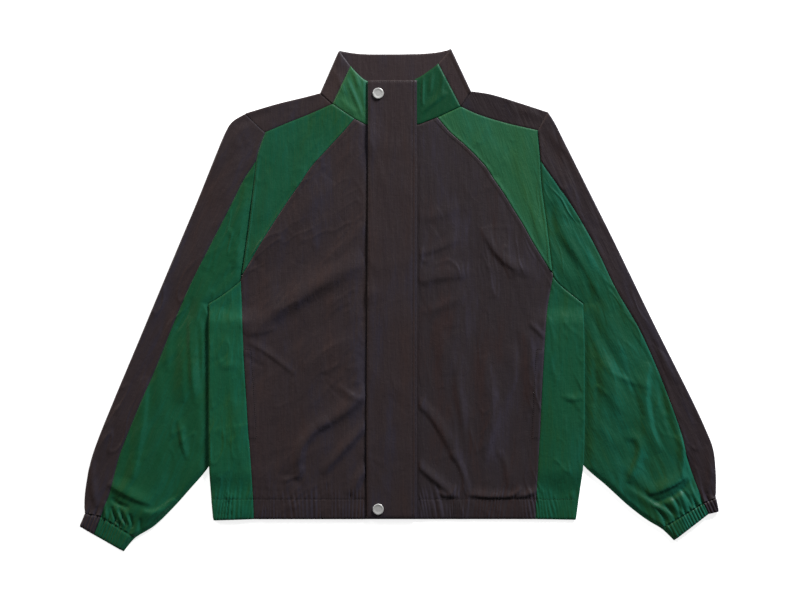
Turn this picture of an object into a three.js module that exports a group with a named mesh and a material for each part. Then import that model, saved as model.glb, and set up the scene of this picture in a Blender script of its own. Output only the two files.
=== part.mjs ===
// A boxy zipped track jacket in two colours, laid flat and face up with its sleeves down beside it.
// Millimetres. X runs to the viewer's right, Y towards the collar, Z up from the surface it lies on.
// Right and left in the names are the wearer's, so the right side lies at -X.
import * as THREE from "three";

const { smoothstep, lerp, clamp } = THREE.MathUtils;

// Walls and layers
const CLOTH = 1.5; // one panel of nylon with its seam allowance
const COLLAR_CLOTH = 2.2; // the stand collar is cloth folded double
const GAP = 0.3; // between two pieces, at a seam or one on the other
const LAID_HEIGHT = 5.2; // top of the upper layer over what the lower layer rests on
const SLEEVE_LOW = 2 * CLOTH + GAP; // both sleeve walls, pressed flat under the body
const SLEEVE_PASS = SLEEVE_LOW + GAP; // lift of the body where a sleeve passes under it
const UPPER_LOW = CLOTH + GAP; // lowest underside of the upper layer
const FOLD_ROUND = [50, 0, -50]; // corners of a folded edge, in degrees from its middle
const FOLD_FADE = 0.6; // how soon a fold in the cloth rises from its ends

// Front opening, storm flap and snaps
const OPENING_X = -11.5; // the fronts meet here, under the flap
const FLAP_FREE_X = -50; // free edge of the flap
const FLAP_SEWN_X = 27; // stitched edge of the flap
const FLAP_TOP_Y = 340.5;
const FLAP_HEM_Y = -338;
const FLAT_MARGIN = 3; // the fronts stay flat this far beyond the flap
const FLAT_FADE = 20; // and their folds grow over this distance
const SNAP_X = -33;
const SNAP_YS = { snap_top: 320, snap_hem: -324 };
const SNAP_RADIUS = 8.5;
const SNAP_SIDES = 20;

// Collar
const COLLAR_TOP_DIP = 7; // the back top edge hangs this much below its two corners
const NECK_BACK_DIP = 5; // and so does the back neck seam
const NECK_OPENING_Y = 267.5; // front neck seam at the opening
const NECK_FLAP_Y = 272; // and at the edges of the flap
const NECK_TILT_Y = 200; // the front's sections are level below this
const BACK_TOP_INSET = 0.07; // share of the back top edge that the folded sides take at each end

// Gathers, each wave a ridge and a hollow
const HEM_WAVE = 0.8; // half height of a wave in the elastic hem
const CUFF_WAVE = 0.8;
const WAVE_COUNT = { front: 19, sidePanel: 6, sleeve: 9, stripe: 3 };

// Where the sleeve lies under the body: it slips under below the armhole and comes out above the hem
const PASS = { startY: -8, fullY: -38, endY: -262, clearY: -300, fullX: 246, clearX: 190 };
const PRESSED = { full: 16, clear: 40 }; // how far the sleeve stays pressed flat beyond the body's edge

// A sleeve's inner edge: its outermost column, and how far the last columns come down to the lower layer
const EDGE_COLUMN = 5;
const EDGE_DROP = [0, 0.35, 1];

// Columns across the plain rows of each piece
const COLUMNS = { yoke: 4, front: 11, shoulder: 2, neck: 4, sleeve: 7, sleeveBack: 3, stripe: 2 };

const table = (names, rows) =>
  rows.map((row) => Object.fromEntries(names.map((name, i) => [name, row[i]])));

// The two sides as they lie, X measured outwards from the middle of the jacket.
// shoulder: fold over the shoulder and seam to the yoke, from the collar out.
// armhole: from the shoulder tip down to the underarm.
// yoke: the seam between yoke and front, from the collar down to the armhole.
// body: the folded side edge and the seam between side panel and front, from underarm to hem.
// stripe: the sleeve's outer fold and the seam of its stripe, from shoulder to cuff.
// armLevels: where the sleeve's sections that end on the armhole start on the stripe seam.
// sleeve: where a section starts on the stripe seam, and its end on the sleeve's inner edge.
// collar: top edge and neck seam, from the folded side of the collar to the opening.
const SIDES = [
  {
    name: "right",
    sign: -1,
    shoulder: table(["foldX", "foldY", "seamX", "seamY"], [
      [123, 321, 104, 304],
      [150, 314, 140, 288],
      [191, 304, 175, 274],
      [238, 290, 208, 260],
    ]),
    armhole: table(["x", "y"], [
      [208, 260], [217, 237], [222, 217], [225, 189], [229, 155], [233, 121],
      [238, 85], [243, 50], [246, 31], [255, 22], [275, 7], [296, -6],
    ]),
    yoke: table(["x", "y"], [
      [70, 281], [88, 260], [112, 234], [138, 205], [155, 179], [168, 161],
      [184, 137], [200, 112], [215, 88], [229, 64], [243, 41],
    ]),
    body: table(["edgeX", "edgeY", "seamX", "seamY"], [
      [296, -6, 246, 31],
      [296, -39, 244, -19],
      [296, -78, 242, -70],
      [296, -140, 238, -136],
      [296, -202, 234, -202],
      [295, -260, 230, -260],
      [292, -310, 227, -310],
      [289, -342, 226, -340],
    ]),
    stripe: table(["foldX", "foldY", "seamX", "seamY"], [
      [239, 289, 208, 260],
      [259, 277, 217, 237],
      [270, 260, 222, 217],
      [288, 217, 243, 184],
      [313, 155, 267, 136],
      [339, 93, 298, 76],
      [365, 31, 328, 16],
      [391, -31, 354, -46],
      [417, -93, 379, -108],
      [443, -155, 406, -170],
      [468, -217, 431, -232],
      [480, -254, 440, -262],
      [487, -291, 449, -298],
      [489, -318, 458, -321],
      [488, -331, 463, -336],
      [496, -351, 474, -364],
    ]),
    sleeve: table(["stripeY", "edgeX", "edgeY"], [
      [0, 296, -6], [-29, 298, -38], [-68, 273, -78], [-108, 262, -132], [-144, 264, -178],
      [-186, 276, -223], [-229, 297, -260], [-267, 325, -293], [-298, 351, -322],
      [-321, 380, -350], [-336, 410, -369], [-364, 428, -390],
    ]),
    collar: table(["topX", "topY", "neckX"], [
      [94, 387, 123], [76, 363, 104], [64, 350, 87], [53, 341, 70],
      [40, 338, 53], [25, 338, 31], [11.5, 338, 11.5],
    ]),
    armLevels: [213.5, 197, 167, 136, 105, 77, 69.5, 62, 53, 43, 24],
  },
  {
    name: "left",
    sign: 1,
    shoulder: table(["foldX", "foldY", "seamX", "seamY"], [
      [111, 324, 95, 300],
      [143, 319, 124, 287],
      [186, 306, 167, 274],
      [229, 292, 215, 263],
    ]),
    armhole: table(["x", "y"], [
      [215, 263], [217, 240], [219, 217], [220, 189], [223, 155], [228, 121],
      [232, 87], [236, 53], [238, 37], [248, 24], [266, 9], [285, -6],
    ]),
    yoke: table(["x", "y"], [
      [59, 283], [79, 260], [105, 237], [132, 209], [148, 185], [162, 165],
      [176, 142], [191, 118], [206, 91], [220, 68], [234, 46],
    ]),
    body: table(["edgeX", "edgeY", "seamX", "seamY"], [
      [285, -6, 238, 37],
      [286, -39, 229, -16],
      [287, -78, 225, -70],
      [287, -140, 221, -136],
      [287, -202, 218, -202],
      [285, -256, 215, -257],
      [278, -310, 212, -310],
      [274, -341, 211, -340],
    ]),
    stripe: table(["foldX", "foldY", "seamX", "seamY"], [
      [231, 291, 215, 263],
      [242, 273, 217, 240],
      [253, 251, 219, 217],
      [276, 205, 242, 183],
      [301, 155, 271, 140],
      [332, 93, 305, 80],
      [362, 31, 335, 18],
      [392, -31, 370, -42],
      [423, -93, 399, -105],
      [454, -155, 424, -170],
      [474, -198, 439, -214],
      [487, -232, 446, -245],
      [491, -271, 456, -275],
      [491, -298, 465, -299],
      [491, -307, 471, -315],
      [496, -328, 479, -332],
    ]),
    sleeve: table(["stripeY", "edgeX", "edgeY"], [
      [-5, 285, -6], [-29, 289, -38], [-65, 266, -78], [-102, 251, -132], [-136, 253, -178],
      [-170, 265, -223], [-208, 286, -257], [-245, 321, -288], [-275, 355, -319],
      [-299, 384, -341], [-315, 407, -355], [-332, 426, -373],
    ]),
    collar: table(["topX", "topY", "neckX"], [
      [80, 390, 111], [60, 367, 95], [46, 356, 77], [33, 347, 59],
      [25, 343, 44], [19, 340, 30], [-11.5, 338, -11.5],
    ]),
    armLevels: [213.5, 198, 169, 140, 110, 82, 74, 66, 56, 45, 25],
  },
];

// The largest folds, in place on the laid jacket: a bent line, its width, and its height (hollows below 0)
const FOLDS = table(["x1", "y1", "x2", "y2", "x3", "y3", "width", "height"], [
  // right front
  [-108, 189, -155, 136, -223, 59, 36, 1.8],
  [-40, 75, -115, 3, -236, -72, 30, 2.6],
  [-40, 40, -100, -25, -190, -75, 26, -1.3],
  [-40, -160, -121, -202, -167, -276, 28, 2.2],
  [-40, -190, -84, -236, -121, -276, 22, -1.4],
  [-229, -76, -202, -87, -169, -110, 24, 1.2],
  // left front
  [15, -160, 71, -217, 112, -294, 26, 2],
  [15, -250, 56, -291, 81, -305, 20, 1.2],
  [143, 70, 167, 46, 202, 37, 24, 1.2],
  [135, -130, 138, -186, 130, -264, 32, 1.4],
  [90, -226, 108, -264, 130, -298, 20, -1.2],
  [64, -298, 140, -300, 215, -296, 20, 1.8],
  // right sleeve
  [-310, 20, -316, -70, -326, -132, 34, 1.6],
  [-394, -139, -395, -217, -414, -290, 28, 2],
  [-341, -186, -336, -220, -326, -256, 22, 1.4],
  [-448, -290, -404, -306, -356, -300, 24, 2.2],
  [-450, -312, -410, -332, -372, -330, 18, -1.4],
  [-474, -235, -477, -279, -470, -318, 16, 1.2],
  // left sleeve
  [244, 112, 282, 59, 322, -4, 30, 1.6],
  [388, -92, 391, -170, 409, -240, 28, 2],
  [334, -232, 363, -232, 353, -290, 22, 1.5],
  [384, -298, 412, -288, 440, -270, 22, 2],
  [386, -314, 415, -306, 444, -292, 16, -1.5],
  [320, -286, 372, -316, 420, -336, 20, 1.2],
  [446, -235, 453, -270, 452, -300, 16, 1.2],
]);

const FINISH = {
  brown: { color: 0x33292e, roughness: 0.62, metalness: 0 },
  green: { color: 0x1c4a34, roughness: 0.6, metalness: 0 },
  steel: { color: 0xb8b8b6, roughness: 0.34, metalness: 1 },
};

// How far a sleeve lies under the body at this height of the jacket, 0 to 1
function passAt(y) {
  const under = smoothstep(-y, -PASS.startY, -PASS.fullY);
  return under * (1 - smoothstep(-y, -PASS.endY, -PASS.clearY));
}

// The height that the body's lower layer rests at: the surface, or the sleeve under it
const bodyFloor = (p) => SLEEVE_PASS * passAt(p.y) * smoothstep(Math.abs(p.x), PASS.clearX, PASS.fullX);

// Height of all the folds at a point
function foldsAt(p) {
  return FOLDS.reduce((sum, fold) => {
    const corners = [
      new THREE.Vector2(fold.x1, fold.y1),
      new THREE.Vector2(fold.x2, fold.y2),
      new THREE.Vector2(fold.x3, fold.y3),
    ];
    let nearest = { distance: Infinity, along: 0 };
    for (const part of [0, 1]) {
      const run = corners[part + 1].clone().sub(corners[part]);
      const share = clamp(p.clone().sub(corners[part]).dot(run) / run.lengthSq(), 0, 1);
      const distance = p.distanceTo(corners[part].clone().addScaledVector(run, share));
      if (distance < nearest.distance) {
        nearest = { distance, along: (part + share) / 2 };
      }
    }
    const fade = Math.sin(Math.PI * nearest.along) ** FOLD_FADE;
    return sum + fold.height * fade * Math.exp(-((2 * nearest.distance / fold.width) ** 2));
  }, 0);
}

// 0 under the storm flap, where the fronts and the collar stay flat, 1 away from it
function clearOfFlap(p) {
  const fromFree = FLAP_FREE_X - FLAT_MARGIN - p.x;
  const fromSewn = p.x - FLAP_SEWN_X - FLAT_MARGIN;
  return smoothstep(Math.max(fromFree, fromSewn), 0, FLAT_FADE);
}

// Top of the body's upper layer
function bodyTop(p) {
  const laid = Math.max(LAID_HEIGHT + foldsAt(p) * clearOfFlap(p), UPPER_LOW + CLOTH);
  return bodyFloor(p) + laid;
}

// Top of the sleeve's upper layer, pressed down where the body lies on it
function sleeveTop(p, side, drop = 0) {
  const beyond = Math.abs(p.x) - side.body[1].edgeX;
  const under = passAt(p.y) * (1 - smoothstep(beyond, PRESSED.full, PRESSED.clear));
  return Math.max(lerp(LAID_HEIGHT + foldsAt(p), SLEEVE_LOW, Math.max(drop, under)), SLEEVE_LOW);
}

const sleeveFloor = () => 0;

// A point of a side's table, in place
const at = (side, x, y) => new THREE.Vector2(side.sign * x, y);

// Evenly spread points of a smooth line through these
function smooth(points, steps) {
  const line = new THREE.SplineCurve(points);
  const count = (points.length - 1) * steps;
  return Array.from({ length: count + 1 }, (_, i) => line.getPoint(i / count));
}

// Points at chosen stops of a smooth line, a stop being a row number with its fraction
function stopsOf(points, stops) {
  const line = new THREE.SplineCurve(points);
  return stops.map((stop) => line.getPoint(stop / (points.length - 1)));
}

// Straight row of points from one end to the other at these shares of its length
const straightRow = (start, end, shares) => shares.map((share) => start.clone().lerp(end, share));

const evenShares = (count) => Array.from({ length: count + 1 }, (_, i) => i / count);

// Moves the outline of a panel, given as rows of points, inwards by half a seam gap
function insetOutline(rows) {
  const last = rows.length - 1;
  const loop = [
    ...rows[0].map((_, j) => [0, j]),
    ...rows.slice(1, last).map((row, i) => [i + 1, row.length - 1]),
    ...rows[last].map((_, j) => [last, rows[last].length - 1 - j]),
    ...rows.slice(1, last).map((_, i) => [last - 1 - i, 0]),
  ];
  const outline = loop.map(([i, j]) => rows[i][j].clone());
  const inward = THREE.ShapeUtils.area(outline) > 0 ? 1 : -1;
  loop.forEach(([i, j], k) => {
    const before = outline[(k + outline.length - 1) % outline.length];
    const after = outline[(k + 1) % outline.length];
    const along = after.clone().sub(before).normalize();
    const across = new THREE.Vector2(-along.y, along.x);
    rows[i][j] = outline[k].clone().addScaledVector(across, inward * GAP / 2);
  });
  return rows;
}

// A point of a wall: its outer face and its inner face
const wallPoint = (p, outer, inner) => ({
  outer: new THREE.Vector3(p.x, p.y, outer),
  inner: new THREE.Vector3(p.x, p.y, inner),
});

const upperPoint = (p, top, cloth) => wallPoint(p, top, top - cloth);
const lowerPoint = (p, floor, cloth) => wallPoint(p, floor, floor + cloth);

// The half round of a folded edge, from the upper layer down to the lower one
function foldedEdge(edge, inward, top, floor, cloth) {
  const radius = (top - floor) / 2;
  return FOLD_ROUND.map((degrees) => {
    const angle = THREE.MathUtils.degToRad(degrees);
    const place = (r) => {
      const p = edge.clone().addScaledVector(inward, radius - r * Math.cos(angle));
      return new THREE.Vector3(p.x, p.y, floor + radius + r * Math.sin(angle));
    };
    return { outer: place(radius), inner: place(radius - cloth) };
  });
}

// One section of a strip that folds over an edge: along the upper layer to the fold and back below.
// The points run from the seam to the fold; wave raises and lowers the upper points in turn.
function foldedSection(points, zone, cloth, wave = 0) {
  const edge = points[points.length - 1];
  const inward = points[points.length - 2].clone().sub(edge).normalize();
  const nearEdge = edge.clone().addScaledVector(inward, LAID_HEIGHT / 2);
  const top = zone.top(nearEdge);
  const floor = zone.floor(nearEdge);
  const turn = edge.clone().addScaledVector(inward, (top - floor) / 2);
  const flat = points.slice(0, -1);
  const waved = (p, j) => zone.top(p) + (j > 0 ? wave * (j % 2 ? 1 : -1) : 0);
  return [
    ...flat.map((p, j) => upperPoint(p, waved(p, j), cloth)),
    upperPoint(turn, top, cloth),
    ...foldedEdge(edge, inward, top, floor, cloth),
    lowerPoint(turn, floor, cloth),
    ...flat.filter((_, j) => j % Math.ceil(flat.length / 4) === 0).reverse()
      .map((p) => lowerPoint(p, zone.floor(p), cloth)),
  ];
}

// A closed wall from rows of wall points. Rows with unlike counts are joined by their share of length.
function wall(rows) {
  const corners = [];
  const index = new Map();
  const vertex = (p) => {
    if (!index.has(p)) {
      index.set(p, corners.length / 3);
      corners.push(p.x, p.y, p.z);
    }
    return index.get(p);
  };
  const faces = [];
  const face = (a, b, c, turned) => faces.push(...(turned ? [a, c, b] : [a, b, c]).map(vertex));
  const shares = (row) => {
    const lengths = row.map((_, j) => (j ? row[j].distanceTo(row[j - 1]) : 0));
    const total = lengths.reduce((sum, length) => sum + length, 0);
    let run = 0;
    return lengths.map((length) => (run += length) / total);
  };
  const strip = (first, second, turned) => {
    const even = first.length === second.length;
    const firstShares = even ? null : shares(first);
    const secondShares = even ? null : shares(second);
    let i = 0;
    let j = 0;
    while (i < first.length - 1 || j < second.length - 1) {
      const firstNext = even ? i <= j : firstShares[i + 1] <= secondShares[j + 1];
      const stepFirst = j === second.length - 1 || (i < first.length - 1 && firstNext);
      if (stepFirst) {
        face(first[i], first[i + 1], second[j], turned);
        i += 1;
      } else {
        face(first[i], second[j + 1], second[j], turned);
        j += 1;
      }
    }
  };
  const outer = rows.map((row) => row.map((p) => p.outer));
  const inner = rows.map((row) => row.map((p) => p.inner));
  for (let i = 0; i < rows.length - 1; i += 1) {
    strip(outer[i], outer[i + 1], false);
    strip(inner[i], inner[i + 1], true);
  }
  strip(inner[0], outer[0], false);
  strip(outer.at(-1), inner.at(-1), false);
  strip(outer.map((row) => row[0]), inner.map((row) => row[0]), false);
  strip(inner.map((row) => row.at(-1)), outer.map((row) => row.at(-1)), false);
  return closedGeometry(corners, faces);
}

// Geometry of a closed surface, turned so that its faces look outwards
function closedGeometry(corners, faces) {
  const corner = (k) => new THREE.Vector3().fromArray(corners, 3 * faces[k]);
  let volume = 0;
  for (let k = 0; k < faces.length; k += 3) {
    volume += corner(k).dot(corner(k + 1).cross(corner(k + 2)));
  }
  const ordered = volume > 0 ? faces : faces.toReversed();
  const geometry = new THREE.BufferGeometry();
  geometry.setAttribute("position", new THREE.Float32BufferAttribute(corners, 3));
  geometry.setIndex(ordered);
  geometry.computeVertexNormals();
  return geometry;
}

// Columns
const columnOf = (side, rows, x, y) => rows.map((row) => at(side, row[x], row[y]));

// Where the storm flap's flat strip ends on a side, by its distance from the middle
const flapEdge = (side) => Math.abs(side.sign < 0 ? FLAP_FREE_X : FLAP_SEWN_X) + FLAT_MARGIN;

// Height of the neck seam on the front, by its distance from the middle
function neckY(side, x) {
  const shoulder = side.shoulder[0];
  const bends = [
    [OPENING_X * side.sign, NECK_OPENING_Y],
    [flapEdge(side), NECK_FLAP_Y],
    [side.yoke[0].x, side.yoke[0].y],
    [shoulder.seamX, shoulder.seamY],
    [shoulder.foldX, shoulder.foldY],
  ];
  const next = Math.max(1, bends.findIndex(([bendX]) => x <= bendX));
  const [[startX, startY], [endX, endY]] = [bends[next - 1], bends[next]];
  return lerp(startY, endY, (x - startX) / (endX - startX));
}

// Seam lines that two or three pieces share, each worked out once for a side
const YOKE_STOPS = [0, 1, 2, 3, 4, 5, 6, 7, 7.5];
const ARM_STOPS = [2.15, 3, 4, 5, 6, 7, 7.5, 8, 8.5, 9, 10, 11];
const SIDE_TOP_STOPS = [8, 8.5, 9, 10, 11];
const STRIPE_TOP_STOPS = [0, 0.5, 1, 1.5, 2];
const BODY_STEPS = 3;
const SHOULDER_STEPS = 2;

function seamsOf(side) {
  const armhole = columnOf(side, side.armhole, "x", "y");
  const shoulder = smooth(columnOf(side, side.shoulder, "seamX", "seamY"), SHOULDER_STEPS);
  return {
    armhole,
    shoulder,
    shoulderFold: smooth(columnOf(side, side.shoulder, "foldX", "foldY"), SHOULDER_STEPS),
    yoke: columnOf(side, side.yoke, "x", "y"),
    side: smooth(columnOf(side, side.body, "seamX", "seamY"), BODY_STEPS),
    sideTop: stopsOf(armhole, SIDE_TOP_STOPS),
  };
}

const BODY = { top: bodyTop, floor: bodyFloor };
const sleeveZone = (side) => ({ top: (p) => sleeveTop(p, side), floor: sleeveFloor });
const lastOf = (rows) => rows[rows.length - 1];

// Upper or lower wall over rows of plan points, with alternate points of a gathered row moved up and down
function upperWall(rows, top, cloth, waves = []) {
  const lift = (row, i, j) => {
    const still = !waves[i] || j === 0 || j === row.length - 1;
    return still ? 0 : waves[i] * (j % 2 ? 1 : -1) * clearOfFlap(row[j]);
  };
  return wall(rows.map((row, i) => row.map((p, j) => {
    return upperPoint(p, top(p, i, j) + lift(row, i, j), cloth);
  })));
}

function lowerWall(rows, floor, cloth) {
  return wall(rows.map((row) => row.map((p) => lowerPoint(p, floor(p), cloth))));
}

// Rows of the elastic hem and cuffs: at the stitch line, half way and at the end, and how high they wave
const GATHERS = [0, 0.5, 1];
const WAVE_SHARES = [0.5, 1, 0.8];

// The coarse rows of a table's lines, then the gathered rows in its last stretch
function gatheredStops(count, steps) {
  const coarse = Array.from({ length: (count - 2) * steps }, (_, i) => i / steps);
  return [...coarse, ...GATHERS.map((share) => count - 2 + share)];
}

// Pieces of the body
function yokePiece(side, seams) {
  const armStops = YOKE_STOPS.slice(1);
  const upper = [...seams.shoulder, ...stopsOf(seams.armhole, armStops)];
  const lower = stopsOf(seams.yoke, yokeStops());
  const shares = evenShares(COLUMNS.yoke);
  return upperWall(insetOutline(upper.map((p, i) => straightRow(p, lower[i], shares))), bodyTop, CLOTH);
}

// Stops on the yoke seam, one for each row of the yoke
function yokeStops() {
  const alongShoulder = [0, 0.5, 1, 1.5, 2, 2.5, 3];
  const alongArmhole = [4, 5, 6, 7, 8, 9, 9.6, 10];
  return [...alongShoulder, ...alongArmhole];
}

function frontPiece(side, seams) {
  const opening = OPENING_X * side.sign;
  const stops = gatheredStops(side.body.length, BODY_STEPS);
  const sideSeam = stopsOf(columnOf(side, side.body, "seamX", "seamY"), stops);
  const outer = [...stopsOf(seams.yoke, yokeStops()), ...sideSeam];
  const neck = side.yoke[0];
  const tilt = (y) => (neck.y - neckY(side, opening)) * smoothstep(y, NECK_TILT_Y, neck.y);
  const gathered = outer.length - GATHERS.length;
  const rows = outer.map((end, i) => {
    const start = at(side, opening, end.y - tilt(end.y));
    const flat = (flapEdge(side) - opening) / (Math.abs(end.x) - opening);
    const columns = i < gathered ? COLUMNS.front : 2 * WAVE_COUNT.front;
    return straightRow(start, end, [0, ...evenShares(columns).map((share) => lerp(flat, 1, share))]);
  });
  rows[0] = rows[0].map((p) => new THREE.Vector2(p.x, neckY(side, p.x * side.sign)));
  const waves = rows.map((_, i) => (i < gathered ? 0 : HEM_WAVE * WAVE_SHARES[i - gathered]));
  return upperWall(insetOutline(rows), bodyTop, CLOTH, waves);
}

// Plan rows of a folded strip, from its seam to its fold, moved clear of the pieces at its seam and its ends
function insetStrip(rows) {
  const folds = rows.map((row) => lastOf(row).clone());
  const inset = insetOutline(rows);
  return inset.map((row, i) => {
    const ended = i === 0 || i === inset.length - 1;
    return ended ? row : [...row.slice(0, -1), folds[i]];
  });
}

function sidePanel(side, seams) {
  const stops = gatheredStops(side.body.length, BODY_STEPS);
  const seam = stopsOf(columnOf(side, side.body, "seamX", "seamY"), stops);
  const edge = stopsOf(columnOf(side, side.body, "edgeX", "edgeY"), stops);
  const gathered = stops.length - GATHERS.length;
  const rows = seam.map((p, i) => {
    const columns = i < gathered ? SIDE_TOP_STOPS.length - 1 : 2 * WAVE_COUNT.sidePanel;
    return straightRow(p, edge[i], evenShares(columns));
  });
  rows[0] = seams.sideTop;
  const wave = (i) => (i < gathered ? 0 : HEM_WAVE * WAVE_SHARES[i - gathered]);
  return wall(insetStrip(rows).map((row, i) => foldedSection(row, BODY, CLOTH, wave(i))));
}

function shoulderStrip(seams) {
  const shares = evenShares(COLUMNS.shoulder);
  const rows = seams.shoulder.map((p, i) => straightRow(p, seams.shoulderFold[i], shares));
  return wall(insetStrip(rows).map((row) => foldedSection(row, BODY, CLOTH)));
}

// The back repeats the front's outline, with the back neck seam at its top
function backNeck() {
  const [right, left] = SIDES.map((side) => at(side, side.shoulder[0].seamX, side.shoulder[0].seamY));
  const middle = right.clone().lerp(left, 0.5);
  middle.y -= NECK_BACK_DIP;
  return smooth([right, middle, left], COLUMNS.neck);
}

const BACK_SHARES = [0, 0.06, 0.2, 0.5, 0.8, 0.94, 1];

function backPiece(seams) {
  const edges = seams.map((own) => [
    ...own.shoulder,
    ...stopsOf(own.armhole, [1, 2, 3, 4, 5, 6, 7, 7.5, 8]),
    ...own.side.slice(1),
  ]);
  const rows = edges[0].map((p, i) => straightRow(p, edges[1][i], BACK_SHARES));
  rows[0] = backNeck();
  return lowerWall(insetOutline(rows), bodyFloor, CLOTH);
}

// Pieces of a sleeve
function sleeveSections(side, seams) {
  const below = columnOf(side, side.sleeve, "edgeX", "edgeY");
  const stops = gatheredStops(side.sleeve.length, 2);
  const levels = side.sleeve.map((row) => new THREE.Vector2(0, row.stripeY));
  const arm = stopsOf(seams.armhole, ARM_STOPS);
  const edge = [...arm.slice(0, -1), ...stopsOf(below, stops)];
  const ys = [...side.armLevels, ...stopsOf(levels, stops).map((p) => p.y)];
  return { edge, ys, armRows: arm.length, gathered: edge.length - GATHERS.length };
}

// A point on a table's line where it passes this height, found by halving
const HALVINGS = 40;

function pointAtY(points, y) {
  const line = new THREE.SplineCurve(points);
  let [high, low] = [0, 1];
  for (let i = 0; i < HALVINGS; i += 1) {
    const middle = (high + low) / 2;
    if (line.getPoint(middle).y > y) {
      high = middle;
    } else {
      low = middle;
    }
  }
  return { share: high, point: line.getPoint(high) };
}

function sleevePanels(side, seams) {
  const { edge, ys, armRows, gathered } = sleeveSections(side, seams);
  const stripeSeam = columnOf(side, side.stripe, "seamX", "seamY");
  const rowsWith = (coarse, fine) => edge.map((p, i) => {
    const start = pointAtY(stripeSeam, ys[i]).point;
    const nearEdge = 1 - EDGE_COLUMN / Math.max(start.distanceTo(p), 2 * EDGE_COLUMN);
    const columns = i < gathered ? coarse : fine;
    return straightRow(start, p, [...evenShares(columns - 1).map((share) => share * nearEdge), 1]);
  });
  const dropAt = (j, row) => EDGE_DROP[Math.max(0, j - row.length + EDGE_DROP.length)];
  const drop = (i, j, row) => (i < armRows ? 0 : dropAt(j, row));
  const front = insetOutline(rowsWith(COLUMNS.sleeve, 2 * WAVE_COUNT.sleeve));
  const waves = front.map((_, i) => (i < gathered ? 0 : CUFF_WAVE * WAVE_SHARES[i - gathered]));
  return {
    front: upperWall(front, (p, i, j) => sleeveTop(p, side, drop(i, j, front[i])), CLOTH, waves),
    back: lowerWall(insetOutline(rowsWith(COLUMNS.sleeveBack, COLUMNS.sleeveBack)), sleeveFloor, CLOTH),
  };
}

function sleeveStripe(side, seams) {
  const { ys, gathered } = sleeveSections(side, seams);
  const seamLine = columnOf(side, side.stripe, "seamX", "seamY");
  const foldLine = new THREE.SplineCurve(columnOf(side, side.stripe, "foldX", "foldY"));
  const top = stopsOf(seams.armhole, STRIPE_TOP_STOPS);
  const sections = [
    ...top.map((point, i) => ({ point, share: STRIPE_TOP_STOPS[i] / (side.stripe.length - 1) })),
    ...ys.map((y) => pointAtY(seamLine, y)),
  ];
  const rows = sections.map(({ share, point }, i) => {
    const columns = i < gathered + top.length ? COLUMNS.stripe : 2 * WAVE_COUNT.stripe;
    return straightRow(point, foldLine.getPoint(share), evenShares(columns));
  });
  const wave = (i) => (i < gathered + top.length ? 0 : CUFF_WAVE * WAVE_SHARES[i - gathered - top.length]);
  return wall(insetStrip(rows).map((row, i) => foldedSection(row, sleeveZone(side), CLOTH, wave(i))));
}

// Pieces of the collar
const COLLAR_ROWS = evenShares(4);

function collarFront(side) {
  const columns = side.collar.slice(1);
  const rows = COLLAR_ROWS.map((share) => columns.map((row) => {
    const neck = at(side, row.neckX, neckY(side, row.neckX));
    return neck.lerp(at(side, row.topX, row.topY), share);
  }));
  return upperWall(insetOutline(rows), bodyTop, COLLAR_CLOTH);
}

// The brown band: from one front seam round the folded side, along the back and round to the other seam
function collarBand() {
  const low = SIDES.map((side) => [1, 0].map((k) => {
    const x = side.collar[k].neckX;
    return at(side, x, neckY(side, x));
  }));
  const high = SIDES.map((side) => [1, 0].map((k) => at(side, side.collar[k].topX, side.collar[k].topY)));
  const neck = backNeck();
  const corners = SIDES.map((side) => at(side, side.collar[0].topX, side.collar[0].topY));
  const top = evenShares(neck.length - 1).map((share) => {
    const p = corners[0].clone().lerp(corners[1], lerp(BACK_TOP_INSET, 1 - BACK_TOP_INSET, share));
    p.y -= COLLAR_TOP_DIP * (1 - (2 * share - 1) ** 4);
    return p;
  });
  const rows = COLLAR_ROWS.map((share) => {
    const [right, left] = low.map((points, s) => points.map((p, k) => p.clone().lerp(high[s][k], share)));
    return { right, left, back: neck.map((p, j) => p.clone().lerp(top[j], share)) };
  });
  const endShift = (i) => (i === 0 ? GAP / 2 : 0);
  return wall(rows.map(({ right, left, back }, i) => {
    const raise = new THREE.Vector2(0, endShift(i));
    const sideOf = ([seam, fold]) => {
      const edge = fold.clone().add(raise);
      const inward = seam.clone().sub(fold).normalize();
      const turn = edge.clone().addScaledVector(inward, LAID_HEIGHT / 2);
      const start = seam.clone().add(raise).addScaledVector(inward, -GAP / 2);
      return [
        upperPoint(start, LAID_HEIGHT, COLLAR_CLOTH),
        upperPoint(turn, LAID_HEIGHT, COLLAR_CLOTH),
        ...foldedEdge(edge, inward, LAID_HEIGHT, 0, COLLAR_CLOTH),
        lowerPoint(turn, 0, COLLAR_CLOTH),
      ];
    };
    const behind = back.map((p) => lowerPoint(p.clone().add(raise), 0, COLLAR_CLOTH));
    return [...sideOf(right), ...behind, ...sideOf(left).reverse()];
  }));
}

// The storm flap over the opening, a little above the fronts and the collar
const FLAP_ROWS = evenShares(16);

function stormFlap() {
  const levels = FLAP_ROWS.map((share) => lerp(FLAP_TOP_Y, FLAP_HEM_Y, share));
  const rows = levels.map((y) => [FLAP_FREE_X, OPENING_X, FLAP_SEWN_X].map((x) => new THREE.Vector2(x, y)));
  return upperWall(rows, (p) => bodyTop(p) + GAP + CLOTH, CLOTH);
}

// A snap's cap: a low dome with a rolled rim and a shallow dish in its middle
const SNAP_PROFILE = table(["inset", "z"], [
  [SNAP_RADIUS, 0], [0.6, 0], [0, 0.5], [0, 1.2], [0.7, 1.9],
  [1.6, 2.4], [3, 2.25], [SNAP_RADIUS, 2],
]);

function snapCap() {
  const profile = SNAP_PROFILE.map(({ inset, z }) => new THREE.Vector2(SNAP_RADIUS - inset, z));
  const cap = new THREE.LatheGeometry(profile, SNAP_SIDES);
  cap.rotateX(Math.PI / 2);
  return cap;
}

// The jacket
const jacket = new THREE.Group();

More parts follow.
